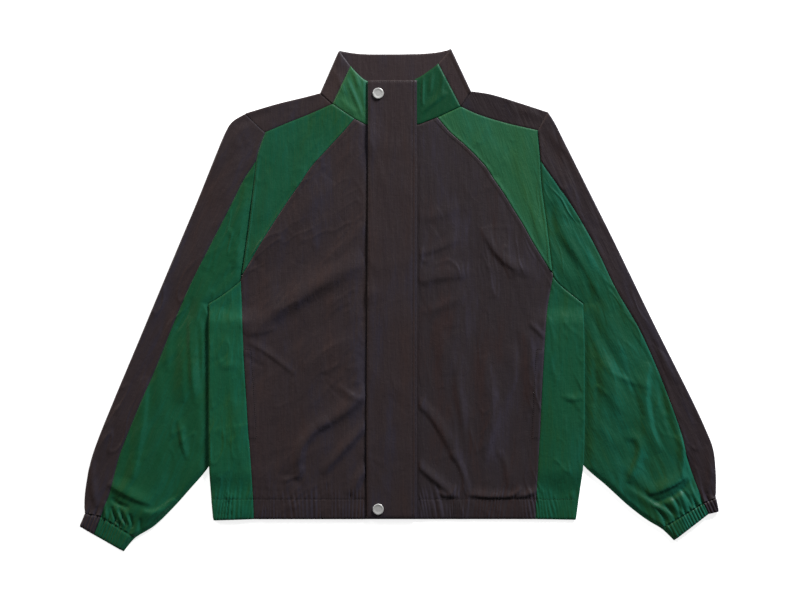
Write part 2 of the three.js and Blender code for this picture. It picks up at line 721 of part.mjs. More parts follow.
function add(name, geometry, finish) {
  const mesh = new THREE.Mesh(geometry, new THREE.MeshStandardMaterial(FINISH[finish]));
  mesh.name = name;
  jacket.add(mesh);
  return mesh;
}

const seams = SIDES.map(seamsOf);
add("back_panel", backPiece(seams), "brown");
SIDES.forEach((side, k) => {
  const own = seams[k];
  const sleeve = sleevePanels(side, own);
  add(`${side.name}_front`, frontPiece(side, own), "brown");
  add(`${side.name}_yoke`, yokePiece(side, own), "green");
  add(`${side.name}_side_panel`, sidePanel(side, own), "green");
  add(`${side.name}_shoulder_strip`, shoulderStrip(own), "brown");
  add(`${side.name}_sleeve_front`, sleeve.front, "green");
  add(`${side.name}_sleeve_back`, sleeve.back, "green");
  add(`${side.name}_sleeve_stripe`, sleeveStripe(side, own), "brown");
  add(`${side.name}_collar_front`, collarFront(side), "green");
});
add("collar_band", collarBand(), "brown");
add("storm_flap", stormFlap(), "brown");
for (const [name, y] of Object.entries(SNAP_YS)) {
  add(name, snapCap(), "steel").position.set(SNAP_X, y, LAID_HEIGHT + CLOTH + 2 * GAP);
}

export default jacket;
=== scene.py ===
import math

import bmesh
import bpy
import numpy as np
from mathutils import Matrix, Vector


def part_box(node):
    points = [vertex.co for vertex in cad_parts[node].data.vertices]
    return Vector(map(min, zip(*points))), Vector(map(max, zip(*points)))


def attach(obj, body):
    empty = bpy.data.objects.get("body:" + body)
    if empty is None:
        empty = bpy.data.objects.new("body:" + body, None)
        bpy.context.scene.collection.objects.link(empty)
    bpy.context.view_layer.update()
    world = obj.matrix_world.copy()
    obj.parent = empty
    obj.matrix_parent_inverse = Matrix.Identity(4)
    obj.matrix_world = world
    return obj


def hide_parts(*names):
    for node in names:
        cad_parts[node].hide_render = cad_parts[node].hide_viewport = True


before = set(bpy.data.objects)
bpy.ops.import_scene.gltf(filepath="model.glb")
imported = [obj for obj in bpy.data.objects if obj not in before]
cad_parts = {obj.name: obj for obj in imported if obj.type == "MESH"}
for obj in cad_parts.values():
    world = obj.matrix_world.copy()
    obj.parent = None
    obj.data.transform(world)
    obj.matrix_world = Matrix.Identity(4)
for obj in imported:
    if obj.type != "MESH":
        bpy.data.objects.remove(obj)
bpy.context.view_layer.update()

MM = 0.001

# Cloth and layers
CLOTH = 0.9  # wall of a panel
COLLAR_CLOTH = 1.9
CAD_CLOTH = 1.5  # wall of the solids, whose layers these shells keep to
GAP = 0.3
LAID_HEIGHT = 5.2
SLEEVE_LOW = 2 * CAD_CLOTH + GAP
SLEEVE_PASS = SLEEVE_LOW + GAP
LOWEST_TOP = 2 * CAD_CLOTH + GAP
GRID = 2.6  # spacing of the points of the upper layer
GATHER_GRID = 1.7  # across the panels that the hem gathers
UNDER_GRID = 9.0  # of the lower layer, which rests flat
ROLL_ANGLES = np.radians([72, 54, 36, 18, 0, -18, -36, -54, -72])  # round a folded edge, from its top

# Front opening, storm flap and snaps
OPENING_X = -11.5
FLAP_FREE_X = -50.0
FLAP_SEWN_X = 27.0
FLAP_TOP_Y = 340.5
FLAP_HEM_Y = -338.0
FLAP_CLOTH = 1.2
FLAT_MARGIN = 3.0

# Collar
NECK_BACK_DIP = 5.0
NECK_OPENING_Y = 267.5
NECK_FLAP_Y = 272.0
NECK_FADE = 14.0  # how far below the neck its curve has died out in a panel's rows
NECK_TILT_Y = 200.0  # the rows of a front are level below this

# Elastic hem and cuffs
HEM_STITCH_Y = -309.0
HEM_WAVE = 1.1
HEM_PITCH = 5.6
CUFF_WAVE = 1.0
CUFF_PITCH = 4.8
CUFF_STITCH_STOP = 10  # row of a sleeve's table at the top of its casing

# The pocket in the side seam
POCKET_TOP_Y, POCKET_END_Y = -78.0, -216.0
POCKET_STITCH = 12.0

# Where a sleeve passes under the body
PASS_START_Y, PASS_FULL_Y, PASS_END_Y, PASS_CLEAR_Y = -8.0, -38.0, -262.0, -300.0
PASS_CLEAR_X, PASS_FULL_X = 190.0, 246.0


def table(names, rows):
    """A table as a dict of columns."""
    values = np.array(rows, float)
    return {name: values[:, k] for k, name in enumerate(names.split())}


# The two sides as they lie, X measured outwards from the middle of the jacket.
SIDES = {
    "right": {
        "sign": -1,
        "shoulder": table("fold_x fold_y seam_x seam_y", [
            [123, 321, 104, 304],
            [150, 314, 140, 288],
            [191, 304, 175, 274],
            [238, 290, 208, 260],
        ]),
        "armhole": table("x y", [
            [208, 260], [217, 237], [222, 217], [225, 189], [229, 155], [233, 121],
            [238, 85], [243, 50], [246, 31], [255, 22], [275, 7], [296, -6],
        ]),
        "yoke": table("x y", [
            [70, 281], [88, 260], [112, 234], [138, 205], [155, 179], [168, 161],
            [184, 137], [200, 112], [215, 88], [229, 64], [243, 41],
        ]),
        "body": table("edge_x edge_y seam_x seam_y", [
            [296, -6, 246, 31],
            [296, -39, 244, -19],
            [296, -78, 242, -70],
            [296, -140, 238, -136],
            [296, -202, 234, -202],
            [295, -260, 230, -260],
            [292, -310, 227, -310],
            [289, -342, 226, -340],
        ]),
        "stripe": table("fold_x fold_y seam_x seam_y", [
            [239, 289, 208, 260],
            [259, 277, 217, 237],
            [270, 260, 222, 217],
            [288, 217, 243, 184],
            [313, 155, 267, 136],
            [339, 93, 298, 76],
            [365, 31, 328, 16],
            [391, -31, 354, -46],
            [417, -93, 379, -108],
            [443, -155, 406, -170],
            [468, -217, 431, -232],
            [480, -254, 440, -262],
            [487, -291, 449, -298],
            [489, -318, 458, -321],
            [488, -331, 463, -336],
            [496, -351, 474, -364],
        ]),
        "sleeve": table("stripe_y edge_x edge_y", [
            [0, 296, -6], [-29, 290, -40], [-68, 273, -78], [-108, 262, -132], [-144, 264, -178],
            [-186, 276, -223], [-229, 297, -260], [-267, 325, -293], [-298, 351, -322],
            [-321, 380, -350], [-336, 410, -369], [-364, 428, -390],
        ]),
        "collar": table("top_x top_y neck_x", [
            [94, 387, 123], [76, 363, 104], [64, 350, 87], [53, 341, 70],
            [40, 338, 53], [25, 338, 31], [11.5, 338, 11.5],
        ]),
        "arm_levels": [216.4, 197, 167, 136, 105, 77, 69.5, 62, 53, 43, 24, 0],
        "arm_fall": 9,
    },
    "left": {
        "sign": 1,
        "shoulder": table("fold_x fold_y seam_x seam_y", [
            [111, 324, 95, 300],
            [143, 319, 124, 287],
            [186, 306, 167, 274],
            [229, 292, 215, 263],
        ]),
        "armhole": table("x y", [
            [215, 263], [217, 240], [219, 217], [220, 189], [223, 155], [228, 121],
            [232, 87], [236, 53], [238, 37], [248, 24], [266, 9], [285, -6],
        ]),
        "yoke": table("x y", [
            [59, 283], [79, 260], [105, 237], [132, 209], [148, 185], [162, 165],
            [176, 142], [191, 118], [206, 91], [220, 68], [234, 46],
        ]),
        "body": table("edge_x edge_y seam_x seam_y", [
            [285, -6, 238, 37],
            [286, -39, 229, -16],
            [287, -78, 225, -70],
            [287, -140, 221, -136],
            [287, -202, 218, -202],
            [285, -256, 215, -257],
            [278, -310, 212, -310],
            [274, -341, 211, -340],
        ]),
        "stripe": table("fold_x fold_y seam_x seam_y", [
            [231, 291, 215, 263],
            [242, 273, 217, 240],
            [253, 251, 219, 217],
            [276, 205, 242, 183],
            [301, 155, 271, 140],
            [332, 93, 305, 80],
            [362, 31, 335, 18],
            [392, -31, 370, -42],
            [423, -93, 399, -105],
            [454, -155, 424, -170],
            [474, -198, 439, -214],
            [487, -232, 446, -245],
            [491, -271, 456, -275],
            [491, -298, 465, -299],
            [491, -307, 471, -315],
            [496, -328, 479, -332],
        ]),
        "sleeve": table("stripe_y edge_x edge_y", [
            [-5, 285, -6], [-29, 280, -40], [-65, 266, -78], [-102, 251, -132], [-136, 253, -178],
            [-170, 265, -223], [-208, 286, -257], [-245, 321, -288], [-275, 355, -319],
            [-299, 384, -341], [-315, 407, -355], [-332, 426, -373],
        ]),
        "collar": table("top_x top_y neck_x", [
            [80, 390, 111], [60, 367, 95], [46, 356, 77], [33, 347, 59],
            [25, 343, 44], [19, 340, 30], [-11.5, 338, -11.5],
        ]),
        "arm_levels": [216.4, 198, 169, 140, 110, 82, 74, 66, 56, 45, 25, -5],
        "arm_fall": 22,
    },
}
ARM_STOPS = [2.03, 3, 4, 5, 6, 7, 7.5, 8, 8.5, 9, 10, 11]

# Folds listed one by one: a bent line, the width, the height (hollows below 0), and the skew of the two
# flanks.
# A positive skew makes the flank on the left of the line's direction the gentler one.
FOLDS = table("x1 y1 x2 y2 x3 y3 width height skew", [
    # right front
    [-108, 189, -150, 142, -223, 62, 40, 2.6, -0.1],
    [-52, 62, -142, 12, -240, -54, 34, 4.6, -0.3],
    [-50, 26, -100, -25, -180, -70, 24, -0.9, 0],
    [-46, -138, -84, -172, -128, -198, 23, 3.6, -0.3],
    [-108, -188, -146, -220, -158, -270, 18, 3.4, -0.3],
    [-148, -258, -160, -274, -184, -280, 9, 1.6, -0.4],
    [-46, -188, -81, -226, -120, -270, 15, 3.0, -0.3],
    [-46, -256, -64, -280, -74, -304, 14, 2.8, -0.2],
    [-52, -150, -70, -150, -96, -130, 10, 1.1, 0.2],
    [-238, -65, -206, -82, -162, -116, 9, 1.2, 0.4],
    [-240, -84, -226, -96, -206, -104, 8, -0.5, 0],
    [-236, -52, -214, -50, -190, -42, 11, 1.0, 0.3],
    [-190, -272, -168, -276, -150, -290, 12, -0.9, 0],
    [-56, 120, -84, 84, -120, 60, 20, 1.0, -0.3],
    [-60, 40, -50, 10, -56, -40, 14, -0.9, 0],
    [-70, -60, -110, -76, -150, -110, 26, 1.0, 0.3],
    # left front
    [22, -156, 56, -190, 88, -250, 17, 2.4, 0.4],
    [80, -236, 98, -268, 102, -298, 11, 1.7, 0.3],
    [24, -252, 50, -276, 84, -302, 13, 2.3, 0.5],
    [128, 112, 160, 62, 204, 39, 18, 2.2, 0.5],
    [18, 26, 70, 36, 124, 44, 22, 1.6, 0.4],
    [200, -34, 212, -46, 226, -60, 9, 1.3, 0.4],
    [16, 70, 56, 78, 97, 98, 14, 1.0, 0.4],
    [18, -24, 60, -12, 110, 10, 16, 0.9, 0.2],
    [26, 128, 62, 132, 104, 150, 20, 0.8, 0.2],
    [134, -84, 143, -180, 126, -250, 24, 1.8, -0.3],
    [172, -66, 178, -110, 168, -156, 17, 1.4, -0.3],
    [200, -50, 206, -124, 196, -196, 15, 1.2, -0.3],
    [84, -80, 92, -150, 106, -244, 16, 1.4, 0.3],
    [60, -30, 64, -90, 72, -140, 22, 0.9, 0.2],
    [112, -60, 114, -130, 112, -180, 16, -1.2, 0],
    [60, -298, 74, -305, 92, -302, 9, 1.7, 0.6],
    [76, -306, 82, -299, 88, -288, 6, 1.3, 0.3],
    [100, -301, 136, -306, 178, -305, 10, 2.1, 0.7],
    [166, -306, 180, -301, 190, -290, 6, 1.5, 0.4],
    [178, -305, 198, -303, 216, -294, 9, 2.0, 0.6],
    [150, -230, 166, -262, 168, -292, 13, 1.1, 0],
    # yokes
    [-150, 262, -146, 205, -176, 160, 30, 0.8, 0],
    [-200, 200, -205, 160, -214, 118, 16, 0.9, 0.2],
    [-166, 250, -184, 222, -196, 190, 12, 0.7, 0.2],
    [120, 262, 150, 230, 186, 214, 34, 0.7, 0],
    [205, 150, 214, 110, 226, 76, 12, 0.9, 0.3],
    [70, 286, 79, 277, 90, 271, 6, -1.3, 0],
    [108, 236, 119, 229, 128, 226, 6, -1.2, 0],
    [120, 222, 131, 214, 142, 210, 6, -1.1, 0],
    [140, 196, 148, 192, 158, 190, 6, -0.9, 0],
    # side panels
    [-268, -50, -262, -120, -250, -190, 18, 0.7, 0],
    [-280, -95, -268, -102, -248, -96, 12, 0.8, 0],
    [-262, -150, -254, -200, -246, -262, 12, 0.9, 0.2],
    [250, -146, 262, -154, 284, -152, 9, 1.2, 0.4],
    [262, -166, 256, -190, 260, -215, 9, 0.9, 0],
    [262, 0, 250, -60, 240, -100, 14, 0.8, 0],
    [228, -20, 238, -60, 234, -110, 9, 0.8, 0.2],
    # right sleeve
    [-300, 40, -313, -30, -316, -90, 22, 2.0, 0.2],
    [-300, -60, -306, -120, -306, -170, 13, 1.4, 0.3],
    [-325, -26, -323, -93, -316, -164, 10, 2.2, 0.2],
    [-312, -36, -310, -95, -305, -150, 8, -1.7, 0],
    [-350, -16, -357, -60, -361, -112, 13, 1.6, 0],
    [-322, 6, -330, -20, -346, -44, 10, -1.3, 0],
    [-256, 60, -268, 34, -290, 12, 16, -1.7, 0],
    [-236, 180, -246, 140, -262, 96, 14, 1.6, 0.2],
    [-392, -118, -400, -202, -416, -276, 17, 3.1, -0.4],
    [-404, -250, -418, -282, -440, -304, 14, 2.0, -0.4],
    [-343, -184, -338, -217, -330, -248, 7, 1.9, 0.5],
    [-328, -70, -336, -116, -334, -160, 16, 2.0, -0.3],
    [-330, -60, -318, -150, -300, -232, 30, 1.3, 0],
    [-360, -70, -372, -130, -366, -190, 22, 1.2, 0],
    [-452, -284, -418, -304, -384, -316, 17, 3.4, 0.5],
    [-400, -326, -376, -328, -348, -308, 15, 2.9, -0.5],
    [-450, -308, -420, -324, -380, -330, 34, 1.8, 0],
    [-446, -320, -440, -338, -430, -352, 5, -2.6, 0],
    [-434, -322, -428, -338, -420, -350, 5, -2.2, 0],
    [-418, -331, -416, -342, -414, -354, 5, -2.4, 0],
    [-402, -338, -402, -350, -404, -362, 5, -1.8, 0],
    [-456, -312, -456, -328, -452, -342, 6, 1.8, 0],
    [-440, -322, -434, -338, -426, -352, 6, 1.8, 0],
    [-426, -326, -421, -340, -416, -352, 6, 1.8, 0],
    [-446, -306, -436, -316, -418, -322, 8, -2.5, 0],
    [-476, -226, -478, -276, -470, -322, 11, 2.3, 0.3],
    [-446, -180, -458, -222, -470, -250, 13, 1.2, 0],
    [-420, -128, -432, -160, -440, -200, 14, 1.0, 0],
    [-330, 110, -352, 60, -366, 30, 12, 0.9, 0],
    # left sleeve
    [232, 150, 250, 90, 280, 40, 18, -1.7, 0],
    [244, 112, 284, 56, 326, -20, 20, 2.2, 0.3],
    [262, 116, 292, 70, 330, 10, 12, 1.2, 0],
    [290, -10, 311, -58, 347, -124, 16, -1.6, 0],
    [292, -30, 318, -85, 344, -178, 24, 1.4, -0.3],
    [298, -50, 304, -120, 306, -200, 12, -1.4, 0],
    [304, -4, 332, -50, 366, -104, 26, 1.6, 0.2],
    [306, -100, 326, -140, 350, -200, 24, 1.7, 0.2],
    [312, -92, 340, -118, 392, -136, 14, 1.3, 0.3],
    [386, -96, 384, -172, 406, -236, 17, 3.4, -0.4],
    [402, -120, 412, -170, 428, -220, 10, -1.6, 0],
    [350, -214, 372, -228, 354, -284, 14, 2.9, 0.3],
    [300, -160, 316, -200, 344, -228, 22, 1.3, 0],
    [384, -300, 412, -292, 446, -272, 17, 3.8, 0.5],
    [392, -314, 420, -305, 449, -284, 9, -2.4, 0],
    [396, -300, 425, -312, 452, -300, 34, 1.8, 0],
    [436, -292, 446, -306, 454, -322, 5, -1.9, 0],
    [422, -303, 430, -314, 436, -327, 5, -1.9, 0],
    [409, -314, 418, -325, 427, -336, 5, -1.6, 0],
    [396, -322, 408, -334, 416, -346, 5, -1.8, 0],
    [430, -294, 440, -309, 446, -324, 7, 1.2, 0],
    [416, -306, 424, -318, 432, -331, 7, 1.2, 0],
    [448, -284, 455, -300, 462, -316, 7, 1.4, 0],
    [434, -208, 440, -240, 438, -276, 10, 2.5, -0.4],
    [352, -290, 388, -314, 427, -337, 11, 1.5, -0.3],
    [372, -292, 398, -312, 430, -330, 8, -0.9, 0],
    [340, -254, 370, -280, 392, -302, 18, 1.4, 0.3],
    [446, -235, 454, -268, 452, -300, 10, -1.6, 0],
    [478, -226, 482, -264, 478, -300, 11, 1.8, 0],
    [398, -60, 412, -100, 432, -130, 12, 1.0, 0],
    # shoulders and stripes
    [-190, 296, -232, 280, -252, 268, 16, -0.9, 0],
    [-236, 272, -250, 258, -256, 236, 14, 1.0, 0],
    [176, 296, 210, 288, 232, 270, 14, 0.8, 0],
    [222, 262, 240, 232, 262, 196, 16, -0.9, 0],
    # collar
    [-73, 358, -61, 322, -50, 278, 8, 2.1, 0.3],
    [-82, 343, -68, 311, -57, 284, 7, 1.7, 0],
    [-57, 346, -54, 330, -52, 310, 6, 1.5, 0],
    [-64, 334, -58, 308, -55, 286, 5, -1.4, 0],
    [-98, 356, -92, 336, -84, 318, 10, 1.2, 0],
    [-90, 312, -78, 298, -64, 290, 9, 1.0, 0],
    [31, 346, 31, 326, 30, 300, 5, -1.6, 0],
    [37, 348, 36, 326, 36, 300, 5, 1.8, 0],
    [43, 352, 41, 330, 40, 306, 5, -1.4, 0],
    [50, 356, 48, 336, 46, 316, 6, 1.6, 0.2],
    [62, 362, 66, 340, 60, 318, 8, 1.4, 0.2],
    [74, 322, 54, 306, 36, 284, 12, 2.6, -0.4],
    [58, 300, 46, 290, 34, 276, 9, -1.6, 0],
])


def smoothstep(value, low, high):
    share = np.clip((value - low) / (high - low), 0, 1)
    return share * share * (3 - 2 * share)


# Soft relief of the cloth
NOISE_CELLS = 97  # the noise repeats after this many cells


def gradient_noise(u, v, seed):
    """Smooth noise from about -1 to 1 with a cell of 1."""
    angles = np.random.default_rng(seed).uniform(0, 2 * math.pi, (NOISE_CELLS, NOISE_CELLS))
    slope_u, slope_v = np.cos(angles), np.sin(angles)
    cell_u, cell_v = np.floor(u).astype(int), np.floor(v).astype(int)
    part_u, part_v = u - cell_u, v - cell_v

    def corner(step_u, step_v):
        i, j = (cell_u + step_u) % NOISE_CELLS, (cell_v + step_v) % NOISE_CELLS
        return slope_u[i, j] * (part_u - step_u) + slope_v[i, j] * (part_v - step_v)

    fade_u, fade_v = (t ** 3 * (t * (6 * t - 15) + 10) for t in (part_u, part_v))
    low = corner(0, 0) + (corner(1, 0) - corner(0, 0)) * fade_u
    high = corner(0, 1) + (corner(1, 1) - corner(0, 1)) * fade_u
    return 1.5 * (low + (high - low) * fade_v)


def drape(points, angle, seed):
    """Soft waves and creases that mostly run at this angle."""
    turn = math.radians(angle)
    along = points[:, 0] * math.cos(turn) + points[:, 1] * math.sin(turn)
    beside = points[:, 1] * math.cos(turn) - points[:, 0] * math.sin(turn)
    beside = beside + 9 * gradient_noise(along / 74, beside / 58, seed)
    broad = gradient_noise(along / 150, beside / 46, seed + 1)
    medium = gradient_noise(along / 76, beside / 20, seed + 2)
    line = gradient_noise(along / 64, beside / 19, seed + 3)
    strength = smoothstep(gradient_noise(along / 90, beside / 60, seed + 4), -0.15, 0.5)
    crease = np.exp(-(line / 0.09) ** 2) * strength
    fine = gradient_noise(along / 27, beside / 7.5, seed + 5)
    return 0.8 * broad + 0.32 * medium + 0.5 * crease + 0.12 * fine - 0.1


# How the folds run from the viewer's left to right: the zone's right end, their angle and their strength
DRAPE_ZONES = table("end angle strength", [
    [-252, 68, 1.7], [-60, 45, 1.0], [140, 84, 1.2], [232, 96, 1.3], [600, 112, 1.4],
])
ZONE_BLEND = 26.0
ZONE_SEEDS = range(40, 90, 10)


def zoned_drape(points):
    """Waves and creases that turn from one zone's direction to the next."""
    height = np.zeros(len(points))
    left_share = np.ones(len(points))
    for seed, end, angle, strength in zip(ZONE_SEEDS, *DRAPE_ZONES.values()):
        right_share = smoothstep(points[:, 0], end - ZONE_BLEND, end + ZONE_BLEND)
        share = left_share - right_share
        inside = share > 0
        if inside.any():
            height[inside] += share[inside] * strength * drape(points[inside], angle, seed)
        left_share = right_share
    return height


# Height of the laid cloth
def distance_to_line(points, line):
    """Distance of each point to a line of points, its signed side, and how far along the line it is."""
    best = np.full(len(points), np.inf)
    side = np.zeros(len(points))
    along = np.zeros(len(points))
    lengths = np.linalg.norm(np.diff(line, axis=0), axis=1)
    total = lengths.sum()
    done = 0.0
    for start, end, length in zip(line[:-1], line[1:], lengths):
        run = end - start
        offset = points - start
        share = np.clip(offset @ run / (length * length), 0, 1)
        distance = np.linalg.norm(offset - share[:, None] * run, axis=1)
        nearer = distance < best
        best[nearer] = distance[nearer]
        side[nearer] = (run[0] * offset[:, 1] - run[1] * offset[:, 0])[nearer]
        along[nearer] = ((done + share * length) / total)[nearer]
        done += length
    return best, side, along


def bent_line(x1, y1, x2, y2, x3, y3, count=7):
    """Points of a smooth bend through three."""
    t = np.linspace(0, 1, count)[:, None]
    start, middle, end = np.array([x1, y1]), np.array([x2, y2]), np.array([x3, y3])
    control = 2 * middle - (start + end) / 2
    return (1 - t) ** 2 * start + 2 * t * (1 - t) * control + t * t * end


FOLD_REACH = 1.6  # of its width, past which a fold adds nothing
FOLD_FADE = 0.55  # how soon a fold rises from its ends


def add_folds(height, points, folds):
    """Adds the folds of a table, each only where it reaches."""
    for row in zip(*folds.values()):
        line = bent_line(*row[:6])
        width, rise, skew = row[6:]
        reach = FOLD_REACH * width
        near = np.all((points > line.min(0) - reach) & (points < line.max(0) + reach), axis=1)
        if not near.any():
            continue
        distance, side, along = distance_to_line(points[near], line)
        flank = width / 2 * (1 + skew * np.sign(side))
        fade = np.sin(math.pi * np.clip(along, 0.001, 0.999)) ** FOLD_FADE
        height[near] += rise * fade * np.exp(-(distance / flank) ** 2)


def crinkle_table(seed, count, low, high, angle, spread, length, width, rise):
    """Short creases scattered over a box, mostly in one direction. The last three are ranges."""
    draw = np.random.default_rng(seed)
    middle = draw.uniform(low, high, (count, 2))
    turn = np.radians(angle) + draw.normal(0, spread, count)
    half = draw.uniform(length[0], length[1], count) / 2
    reach = np.stack([np.cos(turn), np.sin(turn)], 1) * half[:, None]
    bow = np.stack([-np.sin(turn), np.cos(turn)], 1) * (draw.normal(0, 0.12, count) * half)[:, None]
    start, bend, end = middle - reach, middle + bow, middle + reach
    tall = draw.uniform(rise[0], rise[1], count) * draw.choice([-1, 1], count, p=[0.45, 0.55])
    wide = draw.uniform(width[0], width[1], count)
    skew = draw.uniform(-0.5, 0.5, count)
    columns = np.column_stack([start, bend, end, wide, tall, skew])
    return table("x1 y1 x2 y2 x3 y3 width height skew", columns)


# Small creases: over the body, down the right sleeve and down the left sleeve
CRINKLES = [
    crinkle_table(11, 420, (-300, -345), (300, 300), 80, 0.5, (24, 90), (5, 12), (0.10, 0.34)),
    crinkle_table(12, 170, (-500, -390), (-230, 290), 66, 0.35, (24, 90), (5, 12), (0.14, 0.42)),
    crinkle_table(13, 200, (230, -390), (500, 290), 114, 0.35, (24, 90), (5, 12), (0.14, 0.45)),
    crinkle_table(14, 60, (-300, -300), (300, 60), 20, 0.4, (30, 80), (6, 14), (0.10, 0.30)),
]


def clear_of_flap(points):
    """0 under the storm flap, where the fronts stay flat, 1 away from it."""
    from_free = FLAP_FREE_X - 1 - points[:, 0]
    from_sewn = points[:, 0] - FLAP_SEWN_X - 1
    return smoothstep(np.maximum(from_free, from_sewn), 0, 5)


def pass_at(y):
    """1 where the sleeve lies under the body's edge, 0 above and below that."""
    return smoothstep(-y, -PASS_START_Y, -PASS_FULL_Y) * (1 - smoothstep(-y, -PASS_END_Y, -PASS_CLEAR_Y))


def body_floor(points):
    """What the body lies on: the surface, or the sleeve that passes under it."""
    across = smoothstep(np.abs(points[:, 0]), PASS_CLEAR_X, PASS_FULL_X)
    return SLEEVE_PASS * pass_at(points[:, 1]) * across


def wave(position, pitch):
    """Uneven gathers along a stretch, from -1 to 1."""
    phase = position / pitch + 0.42 * np.sin(position / 17.0) + 0.3 * np.sin(position / 8.3 + 1.3)
    size = 0.66 + 0.24 * np.sin(position / 11.0 + 0.6) + 0.1 * np.sin(position / 4.7)
    return size * (2 * np.abs(np.sin(math.pi * phase)) ** 0.8 - 1)


def hem_gathers(points):
    """Gathers of the elastic hem, pinched at its stitch line and running out a little way above it."""
    x, y = points.T
    reach = 20 + 10 * np.sin(x / 23.0) + 7 * np.sin(x / 9.0 + 2.0)
    above = smoothstep(y, HEM_STITCH_Y + 2, HEM_STITCH_Y + 2 + np.maximum(reach, 7))
    size = HEM_WAVE * (1 - above) * np.maximum(0.85 + gradient_noise(x / 13, y / 34, 71), 0.15)
    from_stitch = y - HEM_STITCH_Y
    size *= 1 - 0.25 * np.exp(-(from_stitch / 1.6) ** 2)
    seam_dip = 0.25 * np.exp(-(from_stitch / 1.1) ** 2)
    puff = 0.4 * np.exp(-((from_stitch + 15) / 10.0) ** 2)
    wander = 7.0 * gradient_noise(x / 28, y / 110, 72) + 0.14 * from_stitch * np.sin(x / 31.0)
    fan = 0.5 * wave(x + 1.6 * wander, 14) * np.exp(-(np.maximum(from_stitch, 0) / 24) ** 2)
    fan *= smoothstep(y, HEM_STITCH_Y, HEM_STITCH_Y + 9)
    return size * wave(x + wander, HEM_PITCH) + fan - seam_dip + puff


def fine_folds(points):
    """The drape, the folds laid by hand and the small creases together."""
    height = zoned_drape(points)
    for folds in [FOLDS, *CRINKLES]:
        add_folds(height, points, folds)
    # The drape, the listed folds and the small creases together.
    return height


def body_top(points):
    """Top of the body's upper layer."""
    relief = (fine_folds(points) + hem_gathers(points)) * clear_of_flap(points)
    beside_flap = FLAP_FREE_X - points[:, 0]
    at_collar = smoothstep(points[:, 1], 262, 280)
    reach = 12 + 4.0 * np.sin(points[:, 1] / 47.0) + 2.5 * np.sin(points[:, 1] / 19.0)
    relief = relief - (1.7 + 0.4 * at_collar) * np.exp(-np.maximum(beside_flap, 0) / reach)
    return body_floor(points) + np.maximum(LAID_HEIGHT + relief, LOWEST_TOP)


def sleeve_top(points, side, drop):
    """Top of a sleeve's upper layer, pressed down where the body lies on it and towards its inner edge."""
    edge = side["body"]["edge_x"][1]
    under = pass_at(points[:, 1]) * (1 - smoothstep(np.abs(points[:, 0]), edge + 1, edge + 17))
    press = np.maximum(drop, under)
    laid = LAID_HEIGHT + fine_folds(points)
    return np.maximum(laid + (SLEEVE_LOW - laid) * press, SLEEVE_LOW)


# Lines
def spline(columns, stops):
    """Points of a smooth line through table columns, at stops that are row numbers with fractions."""
    points = np.column_stack(columns)
    last = len(points) - 1
    stops = np.clip(np.asarray(stops, float), 0, last)
    row = np.minimum(stops.astype(int), last - 1)
    share = (stops - row)[:, None]
    before, start, end = points[np.maximum(row - 1, 0)], points[row], points[row + 1]
    after = points[np.minimum(row + 2, last)]
    leave, arrive = (end - before) / 2, (after - start) / 2
    cubic = 2 * start - 2 * end + leave + arrive
    square = -3 * start + 3 * end - 2 * leave - arrive
    return cubic * share ** 3 + square * share ** 2 + leave * share + start


def side_line(side, name, edge=""):
    """One of a side's lines as a function of stops, which gives its points."""
    part, prefix = side[name], edge and edge + "_"
    return lambda stops: spline([side["sign"] * part[prefix + "x"], part[prefix + "y"]], stops)


def stops_along(line, low, high, spacing, close=()):
    """Stops from low to high about this far apart along a line, with closer ones at some stops."""
    coarse = np.linspace(low, high, int(40 * (high - low)) + 2)
    places = line(coarse)
    run = np.concatenate([[0], np.cumsum(np.linalg.norm(np.diff(places, axis=0), axis=1))])
    marks = list(np.linspace(0, run[-1], max(2, int(run[-1] / spacing) + 1)))
    for stop in close:
        centre = np.interp(stop, coarse, run)
        marks += [centre + step for step in (-4, -2.6, -1.5, -0.7, 0, 0.7, 1.5, 2.6, 4)]
    marks = np.unique(np.clip(np.round(marks, 2), 0, run[-1]))
    keep = np.concatenate([[True], np.diff(marks) > 0.3])
    keep[-1] = True
    return np.interp(marks[keep], run, coarse)


EDGE_STEPS = np.array([0, 0.6, 1.3, 2.2, 3.6])


def across(widths, spacing):
    """Distances across each row of a panel, close together at its two edges."""
    widths = np.asarray(widths, float)[:, None]
    squeeze = np.minimum(1, widths / (2.6 * EDGE_STEPS[-1]))
    border = EDGE_STEPS[-1] * squeeze
    count = max(2, int(widths.max() / spacing))
    shares = np.linspace(0, 1, count + 1)[None, 1:-1]
    middle = border + (widths - border - border) * shares
    return np.hstack([EDGE_STEPS * squeeze, middle, widths - EDGE_STEPS[::-1] * squeeze])


def row_widths(starts, ends):
    return np.linalg.norm(ends - starts, axis=1)


def grid_between(starts, ends, distances):
    """Plan points from one edge to the other at these distances, as rows."""
    run = ends - starts
    length = np.maximum(np.linalg.norm(run, axis=1, keepdims=True), 1e-6)
    return starts[:, None, :] + (run / length)[:, None, :] * distances[:, :, None]


def run_lengths(grid):
    """Length along the middle of the rows, from the first row."""
    middle = grid[:, grid.shape[1] // 2]
    return np.concatenate([[0], np.cumsum(np.linalg.norm(np.diff(middle, axis=0), axis=1))])


def fold_run(place, widths):
    """Length along a folded strip, as a column, measured between its seam and its fold."""
    return run_lengths(place(widths[:, None] * np.array([[0.0, 1.0]])))[:, None]


def on_grid(function, grid):
    """A function of plan points, taken over a grid of them."""
    return function(grid.reshape(-1, 2)).reshape(grid.shape[:2])


def edge_roll(distance, depth, width=1.5):
    """How far the cloth rolls down beside an edge or seam."""
    return depth * np.exp(-(distance / width) ** 2)


def edge_rise(distance, rise, width=7.0):
    """The seam allowance pressed under the edge of a panel."""
    return rise * smoothstep(distance, 0, 1.5) * (1 - smoothstep(distance, width - 1.5, width + 1.5))


